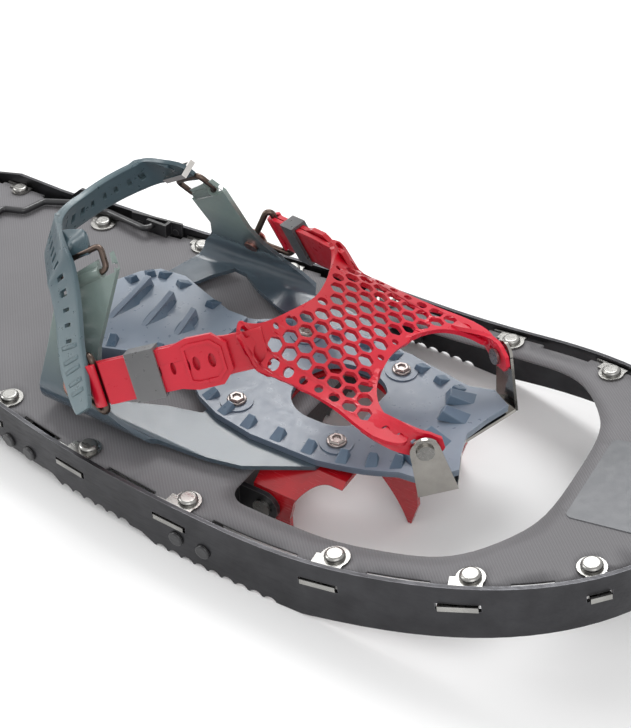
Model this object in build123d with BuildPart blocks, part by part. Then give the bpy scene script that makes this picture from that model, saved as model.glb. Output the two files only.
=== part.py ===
"""Snowshoe: traction-rail frame, fabric deck and a pivoting binding with a crampon.

Millimetres. +X points to the toe, +Y to the wearer's left, +Z up. The origin is on the
ground under the middle of the frame.
"""
import os
from math import atan2, cos, degrees, radians, sin, tan

from build123d import *

os.makedirs("parts", exist_ok=True)

# ---- driving dimensions -----------------------------------------------------------------
LENGTH = 635.0
WIDTH = 203.0
RAIL_THICKNESS = 2.0
DECK_TOP = 28.0
DECK_THICKNESS = 1.2
LIP = 3.0                      # the rail stands this far above the deck
RISE_START = 132.0             # the toe turns up from here
RISE_RADIUS = 330.0
RISE_ANGLE = 11.3
BLADE_BELOW_DECK = 26.0        # depth of the rail under the deck, where it is deepest
TOOTH_PITCH = 7.5
TOOTH_RADIUS = 3.5

PIVOT_X = 127.5                # axis of the binding
PIVOT_Z = 12.0
PIN_RADIUS = 3.0

FOOTBED_TOP = 37.3
FOOTBED_THICKNESS = 3.5
WING_THICKNESS = 2.5
CRAMPON_THICKNESS = 2.5
LAYER_GAP = 0.1
BOLT_PLACES = [(91.5, 31.5), (147.9, 31.5)]
BOLT_RADIUS = 3.0

WING_BOTTOM = FOOTBED_TOP - FOOTBED_THICKNESS - LAYER_GAP - WING_THICKNESS
CRAMPON_TOP = WING_BOTTOM - LAYER_GAP
CRAMPON_BOTTOM = CRAMPON_TOP - CRAMPON_THICKNESS

STRAP_WIDTH = 20.5
WIRE_RADIUS = 1.75
BAIL_RADIUS = 2.0

HALF_OUTLINE = [
    (-LENGTH / 2, 0), (-309, 34), (-286, 57), (-240, 72), (-154, 80.5), (-74, 83), (0, 92.5),
    (70, 100), (125, WIDTH / 2), (195, 97.5), (245, 86), (288, 60), (309, 31), (LENGTH / 2, 0),
]
OUTLINE_STATIONS = 48

SIDE_CLIPS = [                 # station and the rivet's distance from the rail's outer face
    (-210, 9), (-145.5, 8), (-77.5, 12.6), (-12.5, 9.5), (45, 9), (106.5, 9), (183, 9.5), (242.5, 9),
]
END_CLIPS = [(-278, 9), (287, 9)]
CLIP_GAP = 0.8
CLIP_STEEL = 1.0
CLIP_WIDTH = 14.0
SLOT_DROP = 8.25               # slot centre under the deck's top face
SLOT_HEIGHT = 3.9
SLOT_DEPTH = 8.0               # deep enough to clear the upright rail where a clip leans with the toe

CROSSBAR_RIVETS = [(-4.5, 12.0), (10.5, 12.0), (105.5, 12.0), (120.5, 12.0)]
BRACKET_RIVETS = [(-57.0, 30.0), (-33.0, 30.0)]
RAIL_RIVET_RADIUS = 2.0
DECK_RIVET_RADIUS = 2.2
RIVET_CLEARANCE = 0.04
LASH_RADIUS = 4.0
LASH_HEIGHT = 19.0


# ---- shared geometry ----------------------------------------------------------------------
def deck_height(x, base=DECK_TOP):
    """Height of the deck's top face, which rises in an arc and then a ramp at the toe."""
    arc_end = RISE_START + RISE_RADIUS * sin(radians(RISE_ANGLE))
    if x <= RISE_START:
        return base
    if x <= arc_end:
        return base + RISE_RADIUS - (RISE_RADIUS**2 - (x - RISE_START) ** 2) ** 0.5
    arc_rise = RISE_RADIUS * (1 - cos(radians(RISE_ANGLE)))
    return base + arc_rise + (x - arc_end) * tan(radians(RISE_ANGLE))


def deck_slope(x):
    """Slope of the deck at x, in radians."""
    return atan2(deck_height(x + 0.5) - deck_height(x - 0.5), 1.0)


RIGHT_OUTLINE = [(x, -y) for x, y in HALF_OUTLINE]
rail_loop = Edge.make_spline([*HALF_OUTLINE, *RIGHT_OUTLINE[-2:0:-1]], periodic=True)


def rail_plane(x, side):
    """Plane on the rail's outer face at x: local x points outward, local z up from the deck."""
    low, high = 0.0, 0.5
    for _ in range(40):
        middle = (low + high) / 2
        if rail_loop.position_at(middle).X < x:
            low = middle
        else:
            high = middle
    point = rail_loop.position_at(low)
    along = rail_loop.tangent_at(low)
    slope = deck_slope(x)
    return Plane(
        origin=(point.X, side * point.Y, deck_height(x)),
        x_dir=(-along.Y, side * along.X, 0),
        z_dir=(-sin(slope), 0, cos(slope)),
    )


def outline_face(inset):
    """The frame's outline in plan, drawn in by inset."""
    points = []
    for n in range(OUTLINE_STATIONS):
        along = rail_loop.tangent_at(n / OUTLINE_STATIONS)
        inward = Vector(along.Y, -along.X) * inset
        points.append(rail_loop.position_at(n / OUTLINE_STATIONS) + inward)
    with BuildSketch() as face:
        with BuildLine():
            Spline(*points, periodic=True)
        make_face()
    return face.sketch


def side_strip(low, high):
    """Side view of a strip that follows the deck's rise between two heights at the flat."""
    far = LENGTH / 2 + 12
    with BuildSketch(Plane.XZ) as strip:
        with BuildLine():
            for height in (low, high):
                flat = Line((-far, height), (RISE_START, height))
                arc = JernArc(flat @ 1, (1, 0), RISE_RADIUS, RISE_ANGLE)
                Line(arc @ 1, (far, deck_height(far, height)))
            Line((-far, low), (-far, high))
            Line((far, deck_height(far, low)), (far, deck_height(far, high)))
        make_face()
    return strip.sketch


def shifted(plane, x, y, z):
    """The same plane with its origin moved along its own axes."""
    return Plane(plane.from_local_coords((x, y, z)), x_dir=plane.x_dir, z_dir=plane.z_dir)


def local_box(plane, length, width, height):
    """A box centred on the plane's origin: length along its x, width along y, height along z."""
    with BuildPart() as box:
        with BuildSketch(plane.offset(-height / 2)):
            Rectangle(length, width)
        extrude(amount=height)
    return box.part


def rod(start, end, radius):
    """A plain cylinder from one point to another."""
    start, end = Vector(start), Vector(end)
    with BuildPart() as cylinder:
        with BuildSketch(Plane(origin=start, z_dir=end - start)):
            Circle(radius)
        extrude(amount=(end - start).length)
    return cylinder.part


def bent_wire(route, radius, corner):
    """Round wire along straight runs joined by arcs."""
    with BuildPart() as wire:
        with BuildLine():
            path = FilletPolyline(*route, radius=corner)
        with BuildSketch(Plane(origin=path @ 0, z_dir=path % 0)):
            Circle(radius)
        sweep()
    return wire.part


def domed_rivet(base, tip, radius, head_radius, head_height):
    """A rivet with a domed head at its tip; its shank ends at base."""
    axis = (tip - base).normalized()
    with BuildPart() as rivet:
        add(rod(base, tip, radius))
        with BuildSketch(Plane(origin=tip, z_dir=axis)):
            Circle(head_radius)
        extrude(amount=head_height)
        top = rivet.faces().filter_by(GeomType.PLANE).sort_by(Axis(tip, axis))[-1]
        fillet(top.edges(), radius=head_height * 0.7)
    return rivet.part


def rivet_line(x, height, side, outside, inside):
    """End points of a rivet that runs square through the rail at x."""
    plane = rail_plane(x, side)
    centre = Vector(plane.origin.X, plane.origin.Y, height)
    outward = Vector(plane.x_dir.X, plane.x_dir.Y, 0).normalized()
    return centre - outward * inside, centre + outward * outside


def rivet_holes(places, side):
    """Rods that cut the holes for rivets through the rail and what is behind it."""
    holes = []
    for x, height in places:
        inner, outer = rivet_line(x, height, side, 5, 9)
        holes.append(rod(inner, outer, RAIL_RIVET_RADIUS + RIVET_CLEARANCE))
    return holes


def rivet_group(places, inside, head_radius):
    """Domed rivets through the rail, one for each place on each side."""
    rivets = []
    for side in (1, -1):
        for x, height in places:
            inner, outer = rivet_line(x, height, side, 0.15, inside)
            rivets.append(domed_rivet(inner, outer, RAIL_RIVET_RADIUS, head_radius, 1.4))
    return Compound(children=rivets)


def clip_places():
    """(plane, side, inset, narrow) for every deck clip; the ones at the two ends are narrow."""
    wide = [(rail_plane(x, side), side, inset, False) for x, inset in SIDE_CLIPS for side in (1, -1)]
    ends = [(rail_plane(x, side), side, inset, True) for x, inset in END_CLIPS for side in (1, -1)]
    return wide + ends


def foot_shift(side, narrow):
    """A wide clip's foot sits a little behind its rivet."""
    return 0 if narrow else 5 * side


def foot_width(narrow):
    return 9 if narrow else 17


def leg_face(narrow):
    """Local x of a clip's leg, which stands further from the rail where the toe rises."""
    return -RAIL_THICKNESS - CLIP_GAP - (1.2 if narrow else 0)


def save(part, name):
    part.label = name
    export_step(part, f"parts/{name}.step")


# ---- frame rail ---------------------------------------------------------------------------
REAR_CREST = [
    (-330, 31), (-200, 30), (-172, 31), (-150, 35.5), (-117, 34), (-108, 34), (-101, 40),
    (-92, 40), (-89, 37), (-60, 35.5), (-11, 32.6), (25, DECK_TOP + LIP),
]
BLADE_BOTTOM = [
    (-330, 6), (-280, 2), (-210, 2), (-196, 8), (26, 8), (32, 4), (84, 4), (92, 0),
]
TOOTH_GROUPS = [               # first tooth, height of the blade's edge, number of teeth
    (-274, 2, 8), (-186, 8, 5), (-136, 8, 5), (-86, 8, 5), (-36, 8, 5), (36, 4, 6), (96, 0, 9),
]


def blade_profile():
    """Side view of the rail's blade with its scalloped teeth."""
    far = LENGTH / 2 + 12
    toe_top = deck_height(far, DECK_TOP + LIP)
    toe_bottom = deck_height(far) - BLADE_BELOW_DECK + 2
    deep_end = (172, 0.4)
    with BuildSketch(Plane.XZ) as blade:
        with BuildLine():
            crest = Polyline(*REAR_CREST, (RISE_START, DECK_TOP + LIP))
            arc = JernArc(crest @ 1, (1, 0), RISE_RADIUS, RISE_ANGLE)
            Polyline(arc @ 1, (far, toe_top), (far, toe_bottom), deep_end)
            Polyline(deep_end, *reversed(BLADE_BOTTOM))
            Line(BLADE_BOTTOM[0], REAR_CREST[0])
        make_face()
        for start, height, count in TOOTH_GROUPS:
            with Locations(*[(start + n * TOOTH_PITCH, height - 1.2) for n in range(count)]):
                Circle(TOOTH_RADIUS, mode=Mode.SUBTRACT)
    return blade.sketch


with BuildPart() as frame_rail:
    with BuildSketch(Plane.XY.offset(-10)):
        add(outline_face(0))
        add(outline_face(RAIL_THICKNESS), mode=Mode.SUBTRACT)
    extrude(amount=110)
    extrude(blade_profile(), amount=WIDTH, both=True, mode=Mode.INTERSECT)
    openings = []
    for plane, side, _, narrow in clip_places():
        slot = shifted(plane, 0, foot_shift(side, narrow), -SLOT_DROP)
        openings.append(local_box(slot, SLOT_DEPTH, foot_width(narrow) + 2, SLOT_HEIGHT))
    for side in (1, -1):
        openings += rivet_holes(CROSSBAR_RIVETS + BRACKET_RIVETS, side)
    tail = Vector(-LENGTH / 2, 0, LASH_HEIGHT)
    openings.append(rod(tail - Vector(5, 0, 0), tail + Vector(5, 0, 0), LASH_RADIUS))
    add(openings, mode=Mode.SUBTRACT)
save(frame_rail.part, "frame_rail")

# ---- cross members ------------------------------------------------------------------------
WEB = 2.5
FLANGE_WIDTH = 14.0
UNDER_DECK = DECK_TOP - DECK_THICKNESS - 0.1
BAR_LOW = 2.0
FRONT_BAR_X = 113.0
REAR_BAR_X = 3.0
EAR_MIDDLE = 62.4
EAR_THICKNESS = 2.6
EAR_RADIUS = 8.0
FOOT_LENGTH = 27.0


def crossbar(x):
    """A cross member: toothed web, flange under the deck and a riveted foot on each rail."""
    reach = rail_plane(x, 1).origin.Y - RAIL_THICKNESS - 2.5
    deck_reach = reach - 17.0
    count = int(reach // TOOTH_PITCH)
    with BuildPart() as bar:
        with Locations((x, 0, BAR_LOW)):
            Box(WEB, 2 * reach, 16, align=(Align.CENTER, Align.CENTER, Align.MIN))
            Box(WEB, 2 * deck_reach, UNDER_DECK - BAR_LOW, align=(Align.CENTER, Align.CENTER, Align.MIN))
        with Locations((x + WEB / 2, 0, UNDER_DECK)):
            Box(FLANGE_WIDTH, 2 * deck_reach, WEB, align=(Align.MAX, Align.CENTER, Align.MAX))
        with BuildSketch(Plane.YZ.offset(x - WEB)):
            with Locations(*[(n * TOOTH_PITCH, BAR_LOW - 0.8) for n in range(-count, count + 1)]):
                Circle(TOOTH_RADIUS)
        extrude(amount=2 * WEB, mode=Mode.SUBTRACT)
        for side in (1, -1):
            foot = rail_plane(x, side)
            add(local_box(shifted(foot, -RAIL_THICKNESS - 1.5, 0, -17.5), 2.5, FOOT_LENGTH, 13))
            add(rivet_holes(CROSSBAR_RIVETS, side), mode=Mode.SUBTRACT)
    return bar.part


def pivot_ear(side):
    """Rounded cheek that stands forward of the front cross member and holds a pivot pin."""
    with BuildPart() as ear:
        with BuildSketch(Plane.XZ.offset(-side * EAR_MIDDLE)):
            with Locations((PIVOT_X, PIVOT_Z)):
                Circle(EAR_RADIUS)
            with Locations((FRONT_BAR_X, PIVOT_Z)):
                Rectangle(PIVOT_X - FRONT_BAR_X, 2 * EAR_RADIUS, align=(Align.MIN, Align.CENTER))
            with Locations((PIVOT_X, PIVOT_Z)):
                Circle(PIN_RADIUS + 0.03, mode=Mode.SUBTRACT)
        extrude(amount=EAR_THICKNESS / 2, both=True)
    return ear.part


with BuildPart() as front_crossbar:
    add(crossbar(FRONT_BAR_X))
    add(pivot_ear(1))
    add(pivot_ear(-1))
save(front_crossbar.part, "front_crossbar")
save(crossbar(REAR_BAR_X), "rear_crossbar")
save(rivet_group(CROSSBAR_RIVETS, 5.4, 3.8), "crossbar_rivets")

# ---- pivot pins ---------------------------------------------------------------------------
CHEEK_MIDDLE = 59.2            # the crampon's side cheeks
PIN_INNER = CHEEK_MIDDLE - CRAMPON_THICKNESS / 2 - 0.3
PIN_OUTER = EAR_MIDDLE + EAR_THICKNESS / 2 + 0.1


def pivot_pin(side):
    """Headed pin through a cheek and an ear, staked over on the inner side."""
    centre = Vector(PIVOT_X, 0, PIVOT_Z)
    across = Vector(0, side, 0)
    with BuildPart() as pin:
        add(rod(centre + across * PIN_INNER, centre + across * PIN_OUTER, PIN_RADIUS))
        add(rod(centre + across * PIN_OUTER, centre + across * (PIN_OUTER + 1.6), 4.6))
        add(rod(centre + across * (PIN_INNER - 1.4), centre + across * PIN_INNER, 4.2))
    return pin.part


for side, name in ((1, "left"), (-1, "right")):
    save(pivot_pin(side), f"pivot_pin_{name}")

# ---- deck ---------------------------------------------------------------------------------
DECK_INSET = RAIL_THICKNESS + CLIP_GAP + CLIP_STEEL + 0.2
DECK_RECESS = 2.5              # the deck draws back this far between its clips
TONGUE = (44, 32)
HOLE_REAR = 119.5
HOLE_HALF_WIDTH = 80.5
HOLE_CORNER = 9.0
HOLE_FRONT = [(165, HOLE_HALF_WIDTH), (200, 77), (226, 69), (244, 49), (253, 0)]
PATCH = (34, 58)               # blank label ahead of the toe hole
PATCH_CENTRE = (276, 0)

with BuildSketch() as toe_hole:
    with BuildLine():
        Line((HOLE_REAR, 0), (HOLE_REAR, HOLE_HALF_WIDTH - HOLE_CORNER))
        JernArc((HOLE_REAR, HOLE_HALF_WIDTH - HOLE_CORNER), (0, 1), HOLE_CORNER, -90)
        Line((HOLE_REAR + HOLE_CORNER, HOLE_HALF_WIDTH), HOLE_FRONT[0])
        Spline(*HOLE_FRONT, tangents=[(1, 0), (0, -1)])
        mirror(about=Plane.XZ)
    make_face()

with BuildSketch() as tongues:
    for plane, *_ in clip_places():
        turn = degrees(atan2(plane.x_dir.Y, plane.x_dir.X))
        with Locations(Location((plane.origin.X, plane.origin.Y), turn)):
            Rectangle(TONGUE[0], TONGUE[1])
    add(outline_face(DECK_INSET), mode=Mode.INTERSECT)

with BuildSketch() as deck_plan:
    add(outline_face(DECK_INSET + DECK_RECESS))
    add(tongues.sketch)
    add(toe_hole.sketch, mode=Mode.SUBTRACT)

with BuildPart() as deck:
    with BuildSketch():
        add(deck_plan.sketch)
    extrude(amount=100)
    strip = side_strip(DECK_TOP - DECK_THICKNESS, DECK_TOP)
    extrude(strip, amount=WIDTH, both=True, mode=Mode.INTERSECT)
    for plane, _, inset, _ in clip_places():
        centre = plane.from_local_coords((-inset, 0, 0))
        across = plane.z_dir * 5
        add(rod(centre - across, centre + across, DECK_RIVET_RADIUS + 0.05), mode=Mode.SUBTRACT)
    for plane, _, _, narrow in clip_places():
        if narrow:
            leg = shifted(plane, leg_face(True) - CLIP_STEEL / 2, 0, 0)
            add(local_box(leg, CLIP_STEEL + 0.6, foot_width(True) + 1, 8), mode=Mode.SUBTRACT)
save(deck.part, "deck")

with BuildPart() as label_patch:
    with BuildSketch():
        with Locations(PATCH_CENTRE):
            RectangleRounded(PATCH[0], PATCH[1], 3)
    extrude(amount=100)
    strip = side_strip(DECK_TOP + 0.05, DECK_TOP + 0.5)
    extrude(strip, amount=WIDTH, both=True, mode=Mode.INTERSECT)
save(label_patch.part, "label_patch")


def deck_clip(plane, side, inset, narrow):
    """Steel clip: a tab riveted to the deck, a leg down inside the rail and a foot in its slot."""
    width = foot_width(narrow)
    back = foot_shift(side, narrow)
    tab_width = 9 if narrow else CLIP_WIDTH
    inner_face = leg_face(narrow)
    with BuildPart() as clip:
        with BuildSketch(plane.offset(0.15)):
            with Locations((-inset, 0)):
                Circle(min(7.4, inset - RAIL_THICKNESS - CLIP_GAP))
            with Locations((inner_face, back / 3)):
                Rectangle(inset + inner_face, tab_width, align=(Align.MAX, Align.CENTER))
        extrude(amount=CLIP_STEEL)
        drop = SLOT_DROP + 1.3
        leg = shifted(plane, inner_face - CLIP_STEEL / 2, back, (1.15 - drop) / 2)
        add(local_box(leg, CLIP_STEEL, width, drop + 1.15))
        reach = CLIP_STEEL - inner_face + 0.6
        foot = shifted(plane, 0.6 - reach / 2, back, -SLOT_DROP)
        add(local_box(foot, reach, width, 2.6))
        hole = shifted(plane, -inset, 0, 0)
        across = plane.z_dir * 3
        add(rod(hole.origin - across, hole.origin + across, DECK_RIVET_RADIUS + 0.05), mode=Mode.SUBTRACT)
    return clip.part


def deck_rivet(plane, inset):
    """Domed rivet through a clip and the deck, with a flat head underneath."""
    centre = plane.from_local_coords((-inset, 0, 0))
    up = plane.z_dir
    with BuildPart() as rivet:
        add(domed_rivet(centre - up * 1.5, centre + up * (CLIP_STEEL + 0.2), DECK_RIVET_RADIUS, 4.7, 2.4))
        add(rod(centre - up * 2.3, centre - up * (DECK_THICKNESS + 0.05), 3.6))
    return rivet.part


save(Compound(children=[deck_clip(*place) for place in clip_places()]), "deck_clips")
save(Compound(children=[deck_rivet(place[0], place[2]) for place in clip_places()]), "deck_rivets")

# ---- heel lift: a sprung wire bail in two brackets -----------------------------------------
BAIL_PIVOT = Vector(-45.5, 79.0, DECK_TOP + 5.4)
BAIL_DROP = 3.2                # the wire slopes down from its bores to lie on the deck
BAIL_ROUTE = [
    (-45.5, 81.2), (-45.5, 73.0), (-77.5, 77.5), (-106, 75), (-121, 68), (-124, 53), (-137, 49),
]
CHEEK_WIDTH = 1.8
BRACKET_FRONT = -35.4


def bail_point(x, y):
    run = (BAIL_PIVOT.X - x) / (BAIL_PIVOT.X - BAIL_ROUTE[-1][0])
    return (x, y, BAIL_PIVOT.Z - BAIL_DROP * run)


left_arm = [bail_point(x, y) for x, y in BAIL_ROUTE]
right_arm = [bail_point(x, -y) for x, y in reversed(BAIL_ROUTE)]
save(bent_wire(left_arm + right_arm, BAIL_RADIUS, 3.4), "heel_lift_bail")


def bail_bracket(side):
    """Bracket riveted inside the rail: a back plate, a web and a cheek with the bail's bore."""
    back = rail_plane(BAIL_PIVOT.X, side)
    bore = Vector(BAIL_PIVOT.X, side * BAIL_PIVOT.Y, BAIL_PIVOT.Z)
    low = DECK_TOP + 0.3
    height = BAIL_PIVOT.Z + 3.0 - low
    gap = abs(back.origin.Y) - RAIL_THICKNESS - BAIL_PIVOT.Y
    with BuildPart() as bracket:
        plate = shifted(back, -RAIL_THICKNESS - 1.0, 0, low + height / 2 - DECK_TOP)
        add(local_box(plate, 1.6, 34, height))
        with Locations((BRACKET_FRONT, side * (BAIL_PIVOT.Y + gap / 2), low)):
            Box(1.6, gap + CHEEK_WIDTH / 2 - 0.6, height, align=(Align.MAX, Align.CENTER, Align.MIN))
        with Locations((BRACKET_FRONT, side * BAIL_PIVOT.Y, low)):
            Box(14, CHEEK_WIDTH, height, align=(Align.MAX, Align.CENTER, Align.MIN))
        across = Vector(0, 2, 0)
        add(rod(bore - across, bore + across, BAIL_RADIUS + 0.08), mode=Mode.SUBTRACT)
        add(rivet_holes(BRACKET_RIVETS, side), mode=Mode.SUBTRACT)
    return bracket.part


for side, name in ((1, "left"), (-1, "right")):
    save(bail_bracket(side), f"heel_lift_bracket_{name}")
save(rivet_group(BRACKET_RIVETS, 4.4, 2.9), "bracket_rivets")

# ---- crampon --------------------------------------------------------------------------------
CHEEK_OUTER = CHEEK_MIDDLE + CRAMPON_THICKNESS / 2
CLAW_Y = 25.0
CRAMPON_LOW = 0.6
PLATE_HOLE = (107.5, 153.5, 24.0)      # rear end, front end, half width


def crampon_section(side):
    """One side's cross-section: top plate, sloping shoulder and upright cheek."""
    t = CRAMPON_THICKNESS
    with BuildSketch(Plane.YZ.offset(70)) as section:
        with BuildLine():
            Polyline(
                (0, CRAMPON_TOP), (side * 46, CRAMPON_TOP), (side * CHEEK_OUTER, 21.5),
                (side * CHEEK_OUTER, 0), (side * (CHEEK_OUTER - t), 0),
                (side * (CHEEK_OUTER - t), 20.3), (side * 45, CRAMPON_BOTTOM),
                (0, CRAMPON_BOTTOM), (0, CRAMPON_TOP),
            )
        make_face()
    return section.sketch


def crampon_side():
    """Side view of the crampon: a long top plate over short cheeks with two teeth each."""
    low = CRAMPON_LOW
    with BuildSketch(Plane.XZ) as view:
        with BuildLine():
            Polyline((120.5, CRAMPON_BOTTOM), (84, CRAMPON_BOTTOM), (84, CRAMPON_TOP),
                     (162, CRAMPON_TOP), (162, CRAMPON_BOTTOM), (156, CRAMPON_BOTTOM))
            ThreePointArc((156, CRAMPON_BOTTOM), (146.2, 24.5), (141.8, 15))
            Polyline((141.8, 15), (140.5, 8), (141, low), (137, low), (131, 5.2), (125.5, low),
                     (122.5, 1.2), (120.5, 4.5), (120.5, CRAMPON_BOTTOM))
        make_face()
    return view.sketch


def claw(side):
    """Front claw: a curved tooth that points down and forward."""
    with BuildPart() as tooth:
        with BuildSketch(Plane.XZ.offset(-side * CLAW_Y)):
            with BuildLine():
                Polyline((185, CRAMPON_LOW), (186.8, CRAMPON_LOW), (189.5, 13), (187.5, CRAMPON_TOP),
                         (150, CRAMPON_TOP), (150, CRAMPON_BOTTOM), (163, CRAMPON_BOTTOM))
                ThreePointArc((163, CRAMPON_BOTTOM), (176.5, 15), (185, CRAMPON_LOW))
            make_face()
        extrude(amount=CRAMPON_THICKNESS / 2, both=True)
    return tooth.part


with BuildPart() as crampon:
    for side in (1, -1):
        extrude(crampon_section(side), amount=110)
    extrude(crampon_side(), amount=WIDTH, both=True, mode=Mode.INTERSECT)
    with BuildSketch(Plane.XY.offset(CRAMPON_BOTTOM)):
        with Locations(((PLATE_HOLE[0] + PLATE_HOLE[1]) / 2, 0)):
            RectangleRounded(PLATE_HOLE[1] - PLATE_HOLE[0], 2 * PLATE_HOLE[2], 20)
    extrude(amount=CRAMPON_THICKNESS, mode=Mode.SUBTRACT)
    for side in (1, -1):
        add(claw(side))
        hub = Vector(PIVOT_X, side * CHEEK_MIDDLE, PIVOT_Z)
        add(rod(hub - Vector(0, 3, 0), hub + Vector(0, 3, 0), PIN_RADIUS + 0.06), mode=Mode.SUBTRACT)
        for x, y in BOLT_PLACES:
            top = Vector(x, side * y, CRAMPON_TOP + 1)
            add(rod(top - Vector(0, 0, 5), top, BOLT_RADIUS + 0.05), mode=Mode.SUBTRACT)
save(crampon.part, "crampon")

# ---- harness wings ----------------------------------------------------------------------------
WING_LEAN = 121.0              # the wing turns through this angle, from level to leaning inward
WING_BEND = 10.0               # radius of that turn
WING_SLOPE = 71.0              # length of the leaning part
WING_REACH = {1: 65.0, -1: 67.8}       # the right wing is sprung a little wider
WING_REAR_PLAN = {                     # rear edge of the rear leg, and of the upright arm over it
    1: [(-9, 38.6), (-6, 57), (-3, 71), (-3, 97)],
    -1: [(-9, 38.6), (-3, 48), (4, 57), (9, 66), (9, 97)],
}
WING_REAR_SIDE = {1: [(-9, 36), (-3, 40), (4, 50)], -1: [(-9, 36), (9, 43.5), (9, 50)]}
RING_BAR = (19.7, 92.7)        # x and z of the bore for the heel strap's ring
RING_TILT = 38.0               # the bore rises towards the toe
WING_PLAN_TOP = 44.0           # the legs and the window between them end at this height
LOOP_PIVOT = (31.5, 51.0)      # x and z of the toe strap's wire loop


def wing_section(side):
    """Cross-section of a wing: flat under the footbed, a round turn, then leaning inward."""
    height = WING_BOTTOM + WING_THICKNESS / 2
    half = WING_THICKNESS / 2
    reach = WING_REACH[side]
    ends = []
    with BuildSketch(Plane.YZ.offset(-20)) as section:
        with BuildLine():
            for z, radius in ((height - half, WING_BEND + half), (height + half, WING_BEND - half)):
                level = Line((side * 24, z), (side * reach, z))
                turn = JernArc(level @ 1, (side, 0), radius, side * WING_LEAN)
                slope = Line(turn @ 1, turn @ 1 + (turn % 1) * WING_SLOPE)
                ends.append((level @ 0, slope @ 1))
            Line(ends[0][0], ends[1][0])
            Line(ends[0][1], ends[1][1])
        make_face()
    return section.sketch


def wing_surface_y(z, side):
    """Distance from the centre plane to the middle of a wing's leaning part at height z."""
    height = WING_BOTTOM + WING_THICKNESS / 2
    lean = radians(WING_LEAN)
    bend_y = WING_REACH[side] + WING_BEND * sin(lean)
    bend_z = height + WING_BEND * (1 - cos(lean))
    return bend_y + (z - bend_z) / tan(lean)


def wing_side_view(side):
    """Side view: an upright arm that spreads into two legs at its foot."""
    with BuildSketch(Plane.XZ) as view:
        with BuildLine():
            Polyline((-9, 25), *WING_REAR_SIDE[side], (8.5, 61), (7, 75), (6, 88), (30, 107),
                     (36, 101), (36.5, 86), (37, 69), (41, 56), (50, 45), (74, 36), (152, 36),
                     (152, 25), (-9, 25))
        make_face()
    return view.sketch


def wing_plan(side):
    """Plan: a rear leg from the heel, a long front leg under the footbed, a window between."""
    reach = WING_REACH[side]
    left = [*WING_REAR_PLAN[side], (60, 97), (74, reach + 4), (100, reach + 1),
            (117, reach - 3), (146, 47), (150, 24), (80, 24), (80, 44), (62, 49), (44, 57),
            (30, reach + 1), (22, reach + 2), (15, 55), (9, 38.6), (-9, 38.6)]
    with BuildSketch() as plan:
        with BuildLine():
            Polyline(*[(x, side * y) for x, y in left])
        make_face()
    return plan.sketch


def wing_frame(x, z, side):
    """Plane on the middle of a wing's leaning part: local z points inward to the foot."""
    lean = radians(WING_LEAN)
    return Plane(
        origin=(x, side * wing_surface_y(z, side), z),
        x_dir=(1, 0, 0),
        z_dir=(0, -side * sin(lean), cos(lean)),
    )


RING_WIRE = 1.5
RING = (26.0, 12.0)            # the heel strap's rings: along the bore and across it
HEM_RADIUS = 3.2
HEM_LENGTH = 19.0


def ring_frame(side):
    """Plane of a heel strap ring: local x runs along the wing's bore, local y away from it."""
    lean = radians(WING_LEAN)
    tilt = radians(RING_TILT)
    start = wing_frame(*RING_BAR, side)
    up_slope = Vector(0, side * cos(lean), sin(lean))
    along = Vector(1, 0, 0) * cos(tilt) + up_slope * sin(tilt)
    across = up_slope * cos(tilt) - Vector(1, 0, 0) * sin(tilt)
    return Plane(origin=start.origin, x_dir=along, z_dir=along.cross(across))


def harness_wing(side):
    """A flexible side wing of the binding."""
    with BuildPart() as wing:
        extrude(wing_section(side), amount=180)
        extrude(wing_side_view(side), amount=WIDTH, both=True, mode=Mode.INTERSECT)
        with BuildSketch(Plane.XY.offset(20)):
            Rectangle(2 * LENGTH, 2 * WIDTH)
            add(wing_plan(side), mode=Mode.SUBTRACT)
        extrude(amount=WING_PLAN_TOP - 20, mode=Mode.SUBTRACT)
        ring = ring_frame(side)
        for end in (-1, 1):
            notch = shifted(ring, end * (HEM_LENGTH / 2 + 4), 6, 0)
            add(local_box(notch, 8, 18, 12), mode=Mode.SUBTRACT)
        half = ring.x_dir * (HEM_LENGTH / 2)
        add(rod(ring.origin - half, ring.origin + half, HEM_RADIUS))
        add(rod(ring.origin - half * 2, ring.origin + half * 2, RING_WIRE + 0.1), mode=Mode.SUBTRACT)
        boss = wing_frame(*LOOP_PIVOT, side)
        add(rod(boss.origin - boss.z_dir * 5, boss.origin + boss.z_dir * 5, 3.1), mode=Mode.SUBTRACT)
        for x, y in BOLT_PLACES:
            top = Vector(x, side * y, FOOTBED_TOP)
            add(rod(top - Vector(0, 0, 9), top, BOLT_RADIUS + 0.05), mode=Mode.SUBTRACT)
    return wing.part


for side, name in ((1, "left"), (-1, "right")):
    save(harness_wing(side), f"harness_wing_{name}")

# ---- footbed -----------------------------------------------------------------------------------
HEEL_PAD = [(-22.5, 0), (-20, 14), (-14, 28), (-6, 36), (10, 37.5), (30, 30), (48, 24), (60, 24)]
SOLE = [(44, 24), (62, 29), (74, 38), (88, 44), (110, 47.5), (146, 46.5), (168, 41), (183, 36),
        (196, 37), (208, 26), (203, 14), (199.2, 0)]
HEEL_TOP = 41.0
PAD_BOTTOM = DECK_TOP + 0.3
FRONT_RISE_START = 150.0       # the sole turns up from here
FRONT_RISE_RADIUS = 190.0
FRONT_RISE_ANGLE = 19.0
HEEL_FINS = [(-1.1, -15, 21), (18, -11, 16), (36.8, -8, 10)]     # x, right end, left end
FIN_HEIGHT = 7.0


def mirrored_plan(half):
    """A closed plan outline from the points of its left half."""
    with BuildSketch() as plan:
        with BuildLine():
            Polyline(*half, *[(x, -y) for x, y in reversed(half) if y], half[0])
        make_face()
    return plan.sketch


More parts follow.
